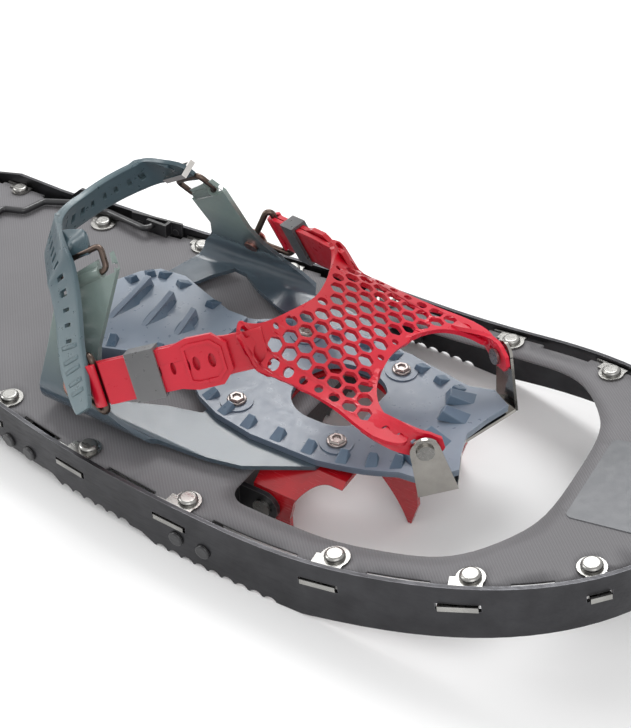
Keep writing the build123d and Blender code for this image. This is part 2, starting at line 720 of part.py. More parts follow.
def sole_strip(low, high):
    """Side view of the sole: flat, then turned up at the toe."""
    with BuildSketch(Plane.XZ) as strip:
        with BuildLine():
            arcs = []
            for height, radius in ((low, FRONT_RISE_RADIUS + high - low), (high, FRONT_RISE_RADIUS)):
                flat = Line((40, height), (FRONT_RISE_START, height))
                arcs.append(JernArc(flat @ 1, (1, 0), radius, FRONT_RISE_ANGLE))
            Line((40, low), (40, high))
            Line(arcs[0] @ 1, arcs[1] @ 1)
        make_face()
    return strip.sketch


with BuildPart() as sole:
    with BuildSketch():
        add(mirrored_plan(SOLE))
    extrude(amount=100)
    extrude(sole_strip(FOOTBED_TOP - FOOTBED_THICKNESS, FOOTBED_TOP), amount=90, both=True,
            mode=Mode.INTERSECT)

with BuildPart() as footbed:
    with BuildSketch(Plane.XY.offset(PAD_BOTTOM)):
        add(mirrored_plan(HEEL_PAD))
    extrude(amount=HEEL_TOP - PAD_BOTTOM)
    add(sole.part)
    with BuildSketch(Plane.XY.offset(FOOTBED_TOP - FOOTBED_THICKNESS)):
        with Locations(((PLATE_HOLE[0] + PLATE_HOLE[1]) / 2, 0)):
            RectangleRounded(PLATE_HOLE[1] - PLATE_HOLE[0] - 2, 2 * PLATE_HOLE[2] - 2, 19)
    extrude(amount=FOOTBED_THICKNESS, mode=Mode.SUBTRACT)
    for x, right, left in HEEL_FINS:
        with BuildSketch(Plane.YZ.offset(x - 1)):
            with BuildLine():
                Polyline((right, HEEL_TOP), (left, HEEL_TOP), (left - 2, HEEL_TOP + FIN_HEIGHT),
                         (right, HEEL_TOP))
            make_face()
        extrude(amount=3)
    for side in (1, -1):
        for x, y in BOLT_PLACES:
            top = Vector(x, side * y, FOOTBED_TOP)
            add(rod(top, top + Vector(0, 0, 0.8), 8.2))
            add(rod(top - Vector(0, 0, 9), top + Vector(0, 0, 2), BOLT_RADIUS + 0.05), mode=Mode.SUBTRACT)
save(footbed.part, "footbed")


def binding_bolt(x, y):
    """Low round-headed bolt through the footbed, a wing and the crampon."""
    top = Vector(x, y, FOOTBED_TOP + 0.8)
    with BuildPart() as bolt:
        add(rod((x, y, CRAMPON_BOTTOM - 0.05), top, BOLT_RADIUS))
        with BuildSketch(Plane(origin=top, z_dir=(0, 0, 1))):
            Circle(4.8)
        extrude(amount=1.4)
        fillet(bolt.faces().sort_by(Axis.Z)[-1].edges(), radius=0.6)
    return bolt.part


bolts = [binding_bolt(x, side * y) for x, y in BOLT_PLACES for side in (1, -1)]
save(Compound(children=bolts), "binding_bolts")

# ---- toe bracket ---------------------------------------------------------------------------------
BRACKET_STEEL = 1.5
BRACKET_REAR = Vector(195.5, 41.0, 37.2)       # lower corners of the left side plate
BRACKET_FRONT_END = Vector(210.0, 30.5, 41.6)
TOE_RIVET = Vector(196.8, 39.8, 63.3)
FLOOR_MIDDLE = (197.5, 184.5)          # the floor's front and rear edges at the centre line


def toe_plate_frame(side):
    """Plane of a side plate: local x runs forward along its foot, local y up the plate."""
    rear = Vector(BRACKET_REAR.X, side * BRACKET_REAR.Y, BRACKET_REAR.Z)
    front = Vector(BRACKET_FRONT_END.X, side * BRACKET_FRONT_END.Y, BRACKET_FRONT_END.Z)
    rivet = Vector(TOE_RIVET.X, side * TOE_RIVET.Y, TOE_RIVET.Z)
    along = (front - rear).normalized()
    out = along.cross(rivet - rear).normalized() * -side
    return Plane(origin=rear, x_dir=along, z_dir=out)


def toe_plate_point(side, point):
    local = toe_plate_frame(side).to_local_coords(Vector(point))
    return (local.X, local.Y)


def toe_side_plate(side):
    """Upright plate with a round top that carries one arm of the toe harness."""
    frame = toe_plate_frame(side)
    sign = 1 if frame.y_dir.Z > 0 else -1
    foot = (BRACKET_FRONT_END - BRACKET_REAR).length
    head = toe_plate_point(side, (TOE_RIVET.X, side * TOE_RIVET.Y, TOE_RIVET.Z))
    with BuildPart() as plate:
        with BuildSketch(frame):
            with BuildLine():
                Polyline((0, -sign), (foot, -sign), (head[0] + 6.8, head[1]), (head[0] - 6.8, head[1]),
                         (0, -sign))
            make_face()
            with Locations(head):
                Circle(6.8)
                Circle(2.05, mode=Mode.SUBTRACT)
        extrude(amount=BRACKET_STEEL)
    return plate.part


with BuildPart() as toe_bracket:
    rear_left, rear_right = [Vector(BRACKET_REAR.X, y * BRACKET_REAR.Y, BRACKET_REAR.Z) for y in (1, -1)]
    front_left, front_right = [
        Vector(BRACKET_FRONT_END.X, y * BRACKET_FRONT_END.Y, BRACKET_FRONT_END.Z) for y in (1, -1)
    ]
    floor = (front_left - rear_left).cross(rear_right - rear_left).normalized()
    floor = floor if floor.Z > 0 else floor * -1
    foot_plane = Plane(origin=rear_left, x_dir=(0, 1, 0), z_dir=floor)
    rise = (front_left.Z - rear_left.Z) / (front_left.X - rear_left.X)
    notch, rear_middle = [Vector(x, 0, rear_left.Z + rise * (x - rear_left.X)) for x in FLOOR_MIDDLE]
    outline = (rear_left, front_left, notch, front_right, rear_right, rear_middle)
    corners = [foot_plane.to_local_coords(corner) for corner in outline]
    with BuildSketch(foot_plane):
        with BuildLine():
            Polyline(*[(c.X, c.Y) for c in corners], (corners[0].X, corners[0].Y))
        make_face()
    extrude(amount=-BRACKET_STEEL)
    add(toe_side_plate(1))
    add(toe_side_plate(-1))
save(toe_bracket.part, "toe_bracket")


def toe_rivet(side):
    """Button rivet that holds an arm of the toe harness to its plate."""
    frame = toe_plate_frame(side)
    head = Vector(TOE_RIVET.X, side * TOE_RIVET.Y, TOE_RIVET.Z)
    out = frame.z_dir
    with BuildPart() as rivet:
        add(rod(head - out * 4.2, head + out * (BRACKET_STEEL + 0.05), 2.0))
        add(rod(head + out * (BRACKET_STEEL + 0.05), head + out * (BRACKET_STEEL + 1.3), 4.0))
        add(rod(head - out * 5.4, head - out * 4.2, 4.0))
    return rivet.part


for side, name in ((1, "left"), (-1, "right")):
    save(toe_rivet(side), f"toe_rivet_{name}")

# ---- toe harness: a perforated instep panel with two arms each way -------------------------------
FOLD = Vector(47.2, 77.8, 60.8)                # where the side strap turns round its loop
FOLD_UP = Vector(-8.9, -3.6, 18.8).normalized()
NECK = Vector(109.2, 41.9, 83.1)
STRAP_PACK = 5.6               # two layers of strap, one on the other
FOLD_RADIUS = 4.3
PANEL = [(115.5, 0), (110, 24), (103, 38), (99, 44), (124, 46), (150, 46), (172, 49), (186, 47.4),
         (189.5, 43), (186, 37), (176, 34), (166, 27), (158, 12), (158, 0)]
PANEL_THICKNESS = 3.0
TOE_TAB = (20, 13, 2.4)


def strap_frame(side):
    """Plane of a folded side strap: origin at its fold, local x towards the panel."""
    fold = Vector(FOLD.X, side * FOLD.Y, FOLD.Z)
    neck = Vector(NECK.X, side * NECK.Y, NECK.Z)
    up = Vector(FOLD_UP.X, side * FOLD_UP.Y, FOLD_UP.Z)
    along = (neck - fold).normalized()
    return Plane(origin=fold, x_dir=along, z_dir=along.cross(up))


def side_strap(side):
    """Strap doubled back through its wire loop, as one pack with a round end and a bore."""
    frame = strap_frame(side)
    length = (NECK - FOLD).length + 4
    half = frame.y_dir * (STRAP_WIDTH / 2)
    with BuildPart() as strap:
        add(local_box(shifted(frame, length / 2, 0, 0), length, STRAP_WIDTH, STRAP_PACK))
        add(rod(frame.origin - half, frame.origin + half, FOLD_RADIUS))
        add(rod(frame.origin - half * 1.2, frame.origin + half * 1.2, WIRE_RADIUS + 0.4), mode=Mode.SUBTRACT)
    return strap.part


def toe_tab(side):
    """End of a toe arm, riveted to the inner face of its bracket plate."""
    frame = toe_plate_frame(side)
    head = toe_plate_point(side, (TOE_RIVET.X, side * TOE_RIVET.Y, TOE_RIVET.Z))
    with BuildPart() as tab:
        add(local_box(shifted(frame, head[0] - 3.5, head[1], -TOE_TAB[2] / 2 - 0.1), *TOE_TAB))
        bore = frame.from_local_coords((head[0], head[1], 0))
        add(rod(bore - frame.z_dir * 4, bore + frame.z_dir, 2.05), mode=Mode.SUBTRACT)
    return tab.part


def panel_strip():
    """Side view of the instep panel, sagging from the instep to the toes."""
    with BuildSketch(Plane.XZ) as strip:
        with BuildLine():
            top = ThreePointArc((94, 95.5), (140, 77), (200, 66))
            low = ThreePointArc((94, 95.5 - PANEL_THICKNESS), (140, 77 - PANEL_THICKNESS),
                                (200, 66 - PANEL_THICKNESS))
            Line(top @ 0, low @ 0)
            Line(top @ 1, low @ 1)
        make_face()
    return strip.sketch


with BuildPart() as toe_harness:
    with BuildSketch():
        add(mirrored_plan(PANEL))
    extrude(amount=120)
    extrude(panel_strip(), amount=90, both=True, mode=Mode.INTERSECT)
    for side in (1, -1):
        add(side_strap(side))
        add(toe_tab(side))
save(toe_harness.part, "toe_harness")

# ---- wire loops between the wings and the toe harness --------------------------------------------
LOOP_EYE = (6.4, 3.05)         # outer radius and bore of the eye
LOOP_REACH = 16.8              # half length of the bar inside the strap's fold
EYE_GAP = 0.1


def eye_plane(side):
    """Plane on the outer face of a wing at its loop's pivot: local z points outward."""
    boss = wing_frame(*LOOP_PIVOT, side)
    out = boss.z_dir * -1
    return Plane(origin=boss.origin + out * (WING_THICKNESS / 2 + EYE_GAP), x_dir=(1, 0, 0), z_dir=out)


def strap_loop(side):
    """Wire triangle: two legs from an eye on the wing to a bar inside the strap's fold."""
    eye = eye_plane(side)
    middle = eye.from_local_coords((0, 0, WIRE_RADIUS))
    fold = strap_frame(side)
    top = fold.from_local_coords((0, LOOP_REACH, 0))
    low = fold.from_local_coords((0, -LOOP_REACH, 0))
    rise, fall = [(p - eye.z_dir * eye.z_dir.dot(p - middle) - middle).normalized() for p in (top, low)]
    route = [middle + rise * 5, middle + rise * 9, top, low, middle + fall * 9, middle + fall * 5]
    with BuildPart() as loop:
        add(bent_wire(route, WIRE_RADIUS, 2.4))
        add(rod(middle - eye.z_dir * WIRE_RADIUS, middle + eye.z_dir * WIRE_RADIUS, LOOP_EYE[0]))
        add(rod(middle - eye.z_dir * 4, middle + eye.z_dir * 4, LOOP_EYE[1]), mode=Mode.SUBTRACT)
    return loop.part


def loop_rivet(side):
    """Domed rivet that holds a loop's eye to its wing."""
    eye = eye_plane(side)
    base = eye.from_local_coords((0, 0, -WING_THICKNESS - EYE_GAP - 0.1))
    tip = eye.from_local_coords((0, 0, 2 * WIRE_RADIUS + EYE_GAP))
    with BuildPart() as rivet:
        add(domed_rivet(base, tip, BOLT_RADIUS, 5.0, 2.2))
        add(rod(base - eye.z_dir * 1.4, base, 4.0))
    return rivet.part


for side, name in ((1, "left"), (-1, "right")):
    save(strap_loop(side), f"strap_loop_{name}")
    save(loop_rivet(side), f"loop_rivet_{name}")

# ---- sliding keepers on the side straps -------------------------------------------------------------
KEEPER_PLACE = 24.0            # from the fold
KEEPER_LENGTH = 14.0
KEEPER_WALL = 1.6
KEEPER_FIT = 0.1


def strap_keeper(side):
    """Rectangular band that slides along a doubled side strap."""
    frame = shifted(strap_frame(side), KEEPER_PLACE, 0, 0)
    inner = (STRAP_WIDTH + 2 * KEEPER_FIT, STRAP_PACK + 2 * KEEPER_FIT)
    with BuildPart() as keeper:
        add(local_box(frame, KEEPER_LENGTH, inner[0] + 2 * KEEPER_WALL, inner[1] + 2 * KEEPER_WALL))
        add(local_box(frame, KEEPER_LENGTH + 2, *inner), mode=Mode.SUBTRACT)
    return keeper.part


for side, name in ((1, "left"), (-1, "right")):
    save(strap_keeper(side), f"strap_keeper_{name}")

# ---- heel strap rings ---------------------------------------------------------------------------------


def heel_ring(side):
    """Closed rectangular ring of wire, its lower bar inside the wing's hem."""
    frame = ring_frame(side)
    with BuildPart() as ring:
        with BuildLine(frame):
            outline = FilletPolyline((-RING[0] / 2, 0), (RING[0] / 2, 0), (RING[0] / 2, RING[1]),
                                     (-RING[0] / 2, RING[1]), radius=3, close=True)
        with BuildSketch(Plane(origin=outline @ 0, z_dir=outline % 0)):
            Circle(RING_WIRE)
        sweep()
    return ring.part


for side, name in ((1, "left"), (-1, "right")):
    save(heel_ring(side), f"heel_ring_{name}")

# ---- heel strap: a band round the heel with a free end on the right ----------------------------------
HEEL_CENTRE = Vector(14, 0, 102)
HEEL_RADIUS = 45.0
HEEL_TILT = radians(18)        # the band drops towards the rear
BAND_LEAN = radians(35)        # its top edge leans inward
BAND_WIDTH = 21.0
BAND_DEPTH = 4.8               # two layers
FREE_END = [                   # point, direction across the strap, width
    ((-14, -36.5, 93.5), (-0.2, 0.5, 0.84), 20), ((3, -55.5, 98.5), (0.3, 0.3, 0.9), 20),
    ((17, -64, 88), (0.7, 0.1, 0.7), 20), ((25.7, -74.5, 69.3), (0.83, -0.1, 0.5), 19),
    ((45.7, -89.5, 52.3), (0.85, -0.1, 0.5), 10),
]


def band_station(angle):
    """Middle and cross direction of the band at an angle round the heel."""
    rear = Vector(-cos(HEEL_TILT), 0, -sin(HEEL_TILT))
    up = Vector(-sin(HEEL_TILT), 0, cos(HEEL_TILT))
    radial = rear * cos(radians(angle)) + Vector(0, 1, 0) * sin(radians(angle))
    return HEEL_CENTRE + radial * HEEL_RADIUS, up * cos(BAND_LEAN) - radial * sin(BAND_LEAN)


def band_end(side):
    """Stations of the band's end, which turns up and over its ring."""
    ring = ring_frame(side)
    return [
        (ring.from_local_coords((0, RING[1] + lift, 0)), ring.x_dir, 18) for lift in (0, 8, 11)
    ]


def band(stations, depth):
    """A flat band through (middle, cross direction, width) stations, one piece between each two."""
    middles = [Vector(*station[0]) for station in stations]
    ends = []
    for n, (_, across, width) in enumerate(stations):
        ahead = (middles[min(n + 1, len(middles) - 1)] - middles[max(n - 1, 0)]).normalized()
        across = Vector(*across)
        across = (across - ahead * across.dot(ahead)).normalized() * (width / 2)
        through = ahead.cross(across).normalized() * (depth / 2)
        ends.append([middles[n] + across * u + through * v for u in (1, -1) for v in (1, -1)])
    with BuildPart() as strip:
        for start, end in zip(ends, ends[1:]):
            ConvexPolyhedron(start + end)
    return strip.part


with BuildPart() as heel_buckle:
    over_bar = shifted(ring_frame(1), 0, RING[1] + 5.8, 0)
    add(local_box(over_bar, 18 + 6, 3, BAND_DEPTH + 5))
    add(local_box(over_bar, 18 + 2, 5, BAND_DEPTH + 2), mode=Mode.SUBTRACT)
save(heel_buckle.part, "heel_buckle")

with BuildPart() as heel_strap:
    round_heel = [(*band_station(angle), BAND_WIDTH) for angle in range(-60, 61, 15)]
    add(band(band_end(-1) + round_heel + band_end(1)[::-1], BAND_DEPTH))
    add(band(FREE_END, BAND_DEPTH / 2))
    for side in (1, -1):
        top = shifted(ring_frame(side), 0, RING[1], 0)
        half = top.x_dir * 9
        add(rod(top.origin - half, top.origin + half, 3.9))
        add(rod(top.origin - half * 1.2, top.origin + half * 1.2, RING_WIRE + 0.3), mode=Mode.SUBTRACT)
    add(heel_buckle.part, mode=Mode.SUBTRACT)
save(heel_strap.part, "heel_strap")
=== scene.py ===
"""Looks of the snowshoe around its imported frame: soft pieces, materials, floor, light and camera."""

import math

import bmesh
import bpy
from mathutils import Matrix, Vector


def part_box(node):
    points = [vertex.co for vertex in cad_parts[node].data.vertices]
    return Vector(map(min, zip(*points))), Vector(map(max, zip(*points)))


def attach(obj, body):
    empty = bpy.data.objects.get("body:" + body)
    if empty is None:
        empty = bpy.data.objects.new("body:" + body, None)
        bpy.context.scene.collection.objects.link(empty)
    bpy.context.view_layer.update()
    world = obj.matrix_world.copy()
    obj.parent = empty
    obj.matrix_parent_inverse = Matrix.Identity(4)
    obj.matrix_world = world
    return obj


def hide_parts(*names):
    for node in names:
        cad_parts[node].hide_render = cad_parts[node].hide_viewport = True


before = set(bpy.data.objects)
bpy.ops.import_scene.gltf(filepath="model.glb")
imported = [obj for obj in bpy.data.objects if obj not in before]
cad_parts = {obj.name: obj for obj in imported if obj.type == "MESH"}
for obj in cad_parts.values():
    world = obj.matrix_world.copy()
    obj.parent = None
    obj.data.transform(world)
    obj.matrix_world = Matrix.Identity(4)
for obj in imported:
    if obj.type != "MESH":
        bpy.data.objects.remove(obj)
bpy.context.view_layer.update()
MM = 0.001
UP = Vector((0, 0, 1))


# ---- materials ---------------------------------------------------------------------------
def new_material(name):
    """An empty material: itself, its nodes, its links and its shader."""
    material = bpy.data.materials.new(name)
    material.use_nodes = True
    nodes = material.node_tree.nodes
    return material, nodes, material.node_tree.links, nodes["Principled BSDF"]


def coordinates(nodes):
    """Positions in the shared frame, in metres."""
    return nodes.new("ShaderNodeTexCoord").outputs["Object"]


def noise(nodes, links, vector, scale, detail=4.0):
    """Fractal noise; scale is in cycles a metre."""
    node = nodes.new("ShaderNodeTexNoise")
    node.inputs["Scale"].default_value = scale
    node.inputs["Detail"].default_value = detail
    node.inputs["Roughness"].default_value = 0.55
    links.new(vector, node.inputs["Vector"])
    return node.outputs["Fac"]


def ramp(nodes, links, factor, stops):
    """Colour ramp with (position, colour) stops."""
    node = nodes.new("ShaderNodeValToRGB")
    elements = node.color_ramp.elements
    while len(elements) < len(stops):
        elements.new(0.5)
    for element, (place, colour) in zip(elements, stops):
        element.position = place
        element.color = (*colour, 1.0)
    links.new(factor, node.inputs["Fac"])
    return node.outputs["Color"]


def grey(value):
    """An even colour."""
    return (value, value, value)


def mix(nodes, links, factor, first, second, blend="MIX"):
    """Two colours mixed by a number or by another node's output."""
    node = nodes.new("ShaderNodeMix")
    node.data_type = "RGBA"
    node.blend_type = blend
    if isinstance(factor, float):
        node.inputs["Factor"].default_value = factor
    else:
        links.new(factor, node.inputs["Factor"])
    links.new(first, node.inputs["A"])
    links.new(second, node.inputs["B"])
    return node.outputs["Result"]


def bump(nodes, links, height, strength, distance, shader, under=None):
    """Bump on the shader's normal, laid over another bump if one is given."""
    node = nodes.new("ShaderNodeBump")
    node.inputs["Strength"].default_value = strength
    node.inputs["Distance"].default_value = distance
    links.new(height, node.inputs["Height"])
    if under is not None:
        links.new(under, node.inputs["Normal"])
    links.new(node.outputs["Normal"], shader.inputs["Normal"])
    return node.outputs["Normal"]


def sharp_edge_mask(nodes, links, width):
    """1 near sharp edges, from the difference between the bevelled and the flat normal."""
    bevel = nodes.new("ShaderNodeBevel")
    bevel.samples = 4
    bevel.inputs["Radius"].default_value = width
    geometry = nodes.new("ShaderNodeNewGeometry")
    dot = nodes.new("ShaderNodeVectorMath")
    dot.operation = "DOT_PRODUCT"
    links.new(bevel.outputs["Normal"], dot.inputs[0])
    links.new(geometry.outputs["Normal"], dot.inputs[1])
    return ramp(nodes, links, dot.outputs["Value"], [(0.86, grey(1)), (0.985, grey(0))])


EDGE_MASK_WIDTH = 0.6 * MM
FINE_BUMP = 0.12
FINE_DEPTH = 0.2 * MM
SKIN_DEPTH = 4.0 * MM          # how far light travels inside urethane


def metal(name, base, rough, edge_tint_wear_and_shading=None, metallic=1.0, coat=0.0, scratch=900.0):
    """Metal or painted metal: mottled, finely scratched, with a second colour on its sharp edges that
    is wear on some metals and painted highlight and painted shade on others.
    """
    material, nodes, links, shader = new_material(name)
    place = coordinates(nodes)
    mottle = noise(nodes, links, place, 60.0)
    dark = tuple(channel * 0.78 for channel in base)
    light = tuple(min(1.0, channel * 1.22) for channel in base)
    colour = ramp(nodes, links, mottle, [(0.3, dark), (0.7, light)])
    # Sharp edges take a second colour: wear on bronze, copper and the buckle, painted highlight and
    # painted shade on the rail, black coat and red paint.
    if edge_tint_wear_and_shading is not None:
        edge_tint_node = nodes.new("ShaderNodeRGB")
        edge_tint_node.outputs[0].default_value = (*edge_tint_wear_and_shading, 1.0)
        colour = mix(nodes, links, sharp_edge_mask(nodes, links, EDGE_MASK_WIDTH), colour, edge_tint_node.outputs[0])
    links.new(colour, shader.inputs["Base Color"])
    stretch = nodes.new("ShaderNodeMapping")
    stretch.inputs["Scale"].default_value = (0.12, 1.0, 1.0)
    links.new(place, stretch.inputs["Vector"])
    lines = noise(nodes, links, stretch.outputs["Vector"], scratch, 3.0)
    satin = ramp(nodes, links, lines, [(0.3, grey(rough * 0.75)), (0.75, grey(rough * 1.3))])
    links.new(satin, shader.inputs["Roughness"])
    shader.inputs["Metallic"].default_value = metallic
    shader.inputs["Coat Weight"].default_value = coat
    shader.inputs["Coat Roughness"].default_value = 0.15
    bump(nodes, links, lines, FINE_BUMP, FINE_DEPTH, shader)
    return material


def height_shaded_colour(nodes, links, place, cloud, deep, pale, rises):
    """From deep to pale between two heights, with clouds in it: painted shade low down and painted
    light higher up.
    """
    height = nodes.new("ShaderNodeSeparateXYZ")
    links.new(place, height.inputs["Vector"])
    span = nodes.new("ShaderNodeMapRange")
    span.inputs["From Min"].default_value = rises[0]
    span.inputs["From Max"].default_value = rises[1]
    links.new(height.outputs["Z"], span.inputs["Value"])
    drift = nodes.new("ShaderNodeMath")
    drift.operation = "MULTIPLY_ADD"
    drift.inputs[1].default_value = 0.35
    links.new(cloud, drift.inputs[0])
    links.new(span.outputs["Result"], drift.inputs[2])
    return ramp(nodes, links, drift.outputs["Value"], [(0.1, deep), (1.05, pale)])


def urethane(name, deep, pale, rough=0.32, through=0.0, glow=0.3, rises=None):
    """Cloudy moulded urethane: colour drifts slowly, or goes from deep to pale between two heights as
    painted shade below and painted light above.
    """
    material, nodes, links, shader = new_material(name)
    place = coordinates(nodes)
    cloud = noise(nodes, links, place, 11.0, 1.0)
    streak = noise(nodes, links, place, 220.0, 4.0)
    if rises is None:
        body = ramp(nodes, links, cloud, [(0.36, deep), (0.64, pale)])
    else:
        body = height_shaded_colour(nodes, links, place, cloud, deep, pale, rises)
    fine = ramp(nodes, links, streak, [(0.3, grey(0.95)), (0.7, grey(1.0))])
    colour = mix(nodes, links, 1.0, body, fine, "MULTIPLY")
    links.new(colour, shader.inputs["Base Color"])
    gloss = ramp(nodes, links, streak, [(0.3, grey(rough * 0.8)), (0.75, grey(rough * 1.35))])
    links.new(gloss, shader.inputs["Roughness"])
    shader.inputs["Subsurface Weight"].default_value = glow
    shader.inputs["Subsurface Radius"].default_value = grey(SKIN_DEPTH)
    shader.inputs["Subsurface Scale"].default_value = 1.0
    shader.inputs["Transmission Weight"].default_value = through
    shader.inputs["IOR"].default_value = 1.48
    shader.inputs["Coat Weight"].default_value = 0.18
    shader.inputs["Coat Roughness"].default_value = 0.2
    pebble = noise(nodes, links, place, 1500.0, 2.0)
    bump(nodes, links, pebble, FINE_BUMP, FINE_DEPTH, shader)
    return material


CLOTH_DARK = (0.105, 0.102, 0.108)
CLOTH_LIGHT = (0.15, 0.146, 0.154)


def coated_cloth(name):
    """Coated nylon: fine diagonal twill, soft creases, a dusty bloom."""
    material, nodes, links, shader = new_material(name)
    place = coordinates(nodes)
    twill = nodes.new("ShaderNodeTexWave")
    twill.wave_type = "BANDS"
    twill.bands_direction = "DIAGONAL"
    twill.inputs["Scale"].default_value = 330.0
    twill.inputs["Distortion"].default_value = 0.4
    links.new(place, twill.inputs["Vector"])
    weft = nodes.new("ShaderNodeTexWave")
    weft.bands_direction = "X"
    weft.inputs["Scale"].default_value = 420.0
    links.new(place, weft.inputs["Vector"])
    weave = mix(nodes, links, 0.45, twill.outputs["Color"], weft.outputs["Color"])
    dusty = noise(nodes, links, place, 14.0, 5.0)
    base = ramp(nodes, links, dusty, [(0.3, CLOTH_DARK), (0.7, CLOTH_LIGHT)])
    thread = ramp(nodes, links, weave, [(0.1, grey(0.82)), (0.9, grey(1.12))])
    links.new(mix(nodes, links, 1.0, base, thread, "MULTIPLY"), shader.inputs["Base Color"])
    dull = ramp(nodes, links, dusty, [(0.3, grey(0.5)), (0.7, grey(0.66))])
    links.new(dull, shader.inputs["Roughness"])
    shader.inputs["Sheen Weight"].default_value = 0.15
    shader.inputs["Sheen Roughness"].default_value = 0.4
    under = bump(nodes, links, weave, 0.22, 0.3 * MM, shader)
    creases = noise(nodes, links, place, 9.0, 2.0)
    bump(nodes, links, creases, 0.25, 4.0 * MM, shader, under)
    return material


# On the rail and the black coat the lighter edge colour is partly wear and partly a painted highlight
# along the edges.
RAIL = metal("rail_anodised", (0.05, 0.05, 0.054), 0.4, edge_tint_wear_and_shading=(0.13, 0.13, 0.14), coat=0.1)
BLACK = metal("black_coat", (0.014, 0.014, 0.016), 0.38, edge_tint_wear_and_shading=(0.1, 0.1, 0.1), metallic=0.0, coat=0.3)
STEEL = metal("satin_steel", (0.34, 0.335, 0.32), 0.3)
STAINLESS = metal("toe_stainless", (0.36, 0.345, 0.32), 0.16, scratch=600.0)
BOLT = metal("bolt_steel", (0.33, 0.29, 0.275), 0.3)
BRONZE = metal("bronze_wire", (0.12, 0.09, 0.075), 0.33, edge_tint_wear_and_shading=(0.45, 0.34, 0.26))
POLISHED = metal("polished_buckle", (0.72, 0.69, 0.66), 0.12, edge_tint_wear_and_shading=(0.95, 0.93, 0.9))
COPPER = metal("bronze_rivet", (0.42, 0.2, 0.17), 0.3, edge_tint_wear_and_shading=(0.7, 0.42, 0.34))
# The darker red on the crampon's sharp edges is painted shade.
RED_PAINT = metal(
    "red_paint", (0.42, 0.006, 0.012), 0.24, edge_tint_wear_and_shading=(0.2, 0.02, 0.02), metallic=0.0, coat=0.6
)
CLOTH = coated_cloth("coated_nylon")
PATCH = urethane("patch_rubber", (0.1, 0.105, 0.11), (0.15, 0.155, 0.165), rough=0.6, glow=0.0)
# The footbed is darker low down and paler higher up: painted shade on its sides and low parts, painted
# light on its raised heel and toe.
SOLE = urethane(
    "footbed_urethane", (0.1, 0.13, 0.18), (0.2, 0.245, 0.31), through=0.15, rises=(0.036, 0.042)
)
# Teeth and fins are the footbed's own urethane; their darker colour is painted shade.
TOOTH_SHADE = urethane("footbed_teeth", (0.045, 0.08, 0.125), (0.1, 0.15, 0.21), glow=0.25)
# The wings are darker low down and paler higher up: painted shade near the footbed and painted light
# towards the rings.
WING = urethane(
    "wing_urethane", (0.07, 0.1, 0.145), (0.3, 0.38, 0.35), rough=0.2, through=0.45,
    rises=(0.042, 0.085)
)
STRAP = urethane("strap_urethane", (0.055, 0.095, 0.115), (0.14, 0.2, 0.22), glow=0.2, through=0.15)
HARNESS = urethane("harness_urethane", (0.44, 0.002, 0.012), (0.6, 0.006, 0.028), glow=0.1)
KEEPER = urethane("keeper_urethane", (0.1, 0.1, 0.105), (0.2, 0.2, 0.205), through=0.3)

NODE_LOOKS = {
    RAIL: ["frame_rail"],
    BLACK: ["front_crossbar", "rear_crossbar", "crossbar_rivets", "heel_lift_bail",
            "heel_lift_bracket_left", "heel_lift_bracket_right", "bracket_rivets"],
    STEEL: ["pivot_pin_left", "pivot_pin_right", "deck_clips", "deck_rivets",
            "toe_rivet_left", "toe_rivet_right"],
    STAINLESS: ["toe_bracket"],
    BOLT: ["binding_bolts"],
    BRONZE: ["strap_loop_left", "strap_loop_right", "heel_ring_left", "heel_ring_right"],
    POLISHED: ["heel_buckle"],
    COPPER: ["loop_rivet_left", "loop_rivet_right"],
    RED_PAINT: ["crampon"],
    KEEPER: ["strap_keeper_left", "strap_keeper_right"],
    PATCH: ["label_patch"],
    CLOTH: ["deck"],
    SOLE: ["footbed"],
    WING: ["harness_wing_left", "harness_wing_right"],
    STRAP: ["heel_strap"],
    HARNESS: ["toe_harness"],
}
for look, names in NODE_LOOKS.items():
    for node_name in names:
        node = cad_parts[node_name]
        node.data.materials.clear()
        node.data.materials.append(look)


# ---- mesh helpers ------------------------------------------------------------------------
def new_object(name, mesh, material):
    """A mesh in the scene, with one material."""
    mesh.materials.clear()
    mesh.materials.append(material)
    piece = bpy.data.objects.new(name, mesh)
    bpy.context.scene.collection.objects.link(piece)
    return piece


def shade(piece, smooth):
    """Smooth or faceted shading."""
    for face in piece.data.polygons:
        face.use_smooth = smooth


def mesh_object(name, vertices, faces, material):
    """A mesh piece on the binding; vertices are in millimetres."""
    mesh = bpy.data.meshes.new(name)
    mesh.from_pydata([Vector(v) * MM for v in vertices], [], faces)
    mesh.update()
    clean = bmesh.new()
    clean.from_mesh(mesh)
    bmesh.ops.recalc_face_normals(clean, faces=clean.faces)
    clean.to_mesh(mesh)
    clean.free()
    piece = new_object(name, mesh, material)
    shade(piece, True)
    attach(piece, "binding")
    return piece


def strips(rows, columns):
    """Quads over a grid of vertices that is counted row by row."""
    return [
        (r * columns + c, r * columns + c + 1, (r + 1) * columns + c + 1, (r + 1) * columns + c)
        for r in range(rows - 1) for c in range(columns - 1)
    ]


def soften(piece, width=0.4 * MM, sharp=40):
    """Small bevels on the edges that are sharper than an angle in degrees."""
    bevel = piece.modifiers.new("edges", "BEVEL")
    bevel.width = width
    bevel.segments = 2
    bevel.limit_method = "ANGLE"
    bevel.angle_limit = math.radians(sharp)


def solidify(piece, thickness, offset=0.0):
    """Thickness in millimetres; an offset of -1 puts all of it below the surface."""
    thick = piece.modifiers.new("thickness", "SOLIDIFY")
    thick.thickness = thickness * MM
    thick.offset = offset


def refine(work, longest, rounds):
    """Splits edges until they are short enough to bend."""
    for _ in range(rounds):
        long_edges = [edge for edge in work.edges if edge.calc_length() > longest]
        if long_edges:
            bmesh.ops.subdivide_edges(work, edges=long_edges, cuts=1)
            bmesh.ops.triangulate(work, faces=work.faces)


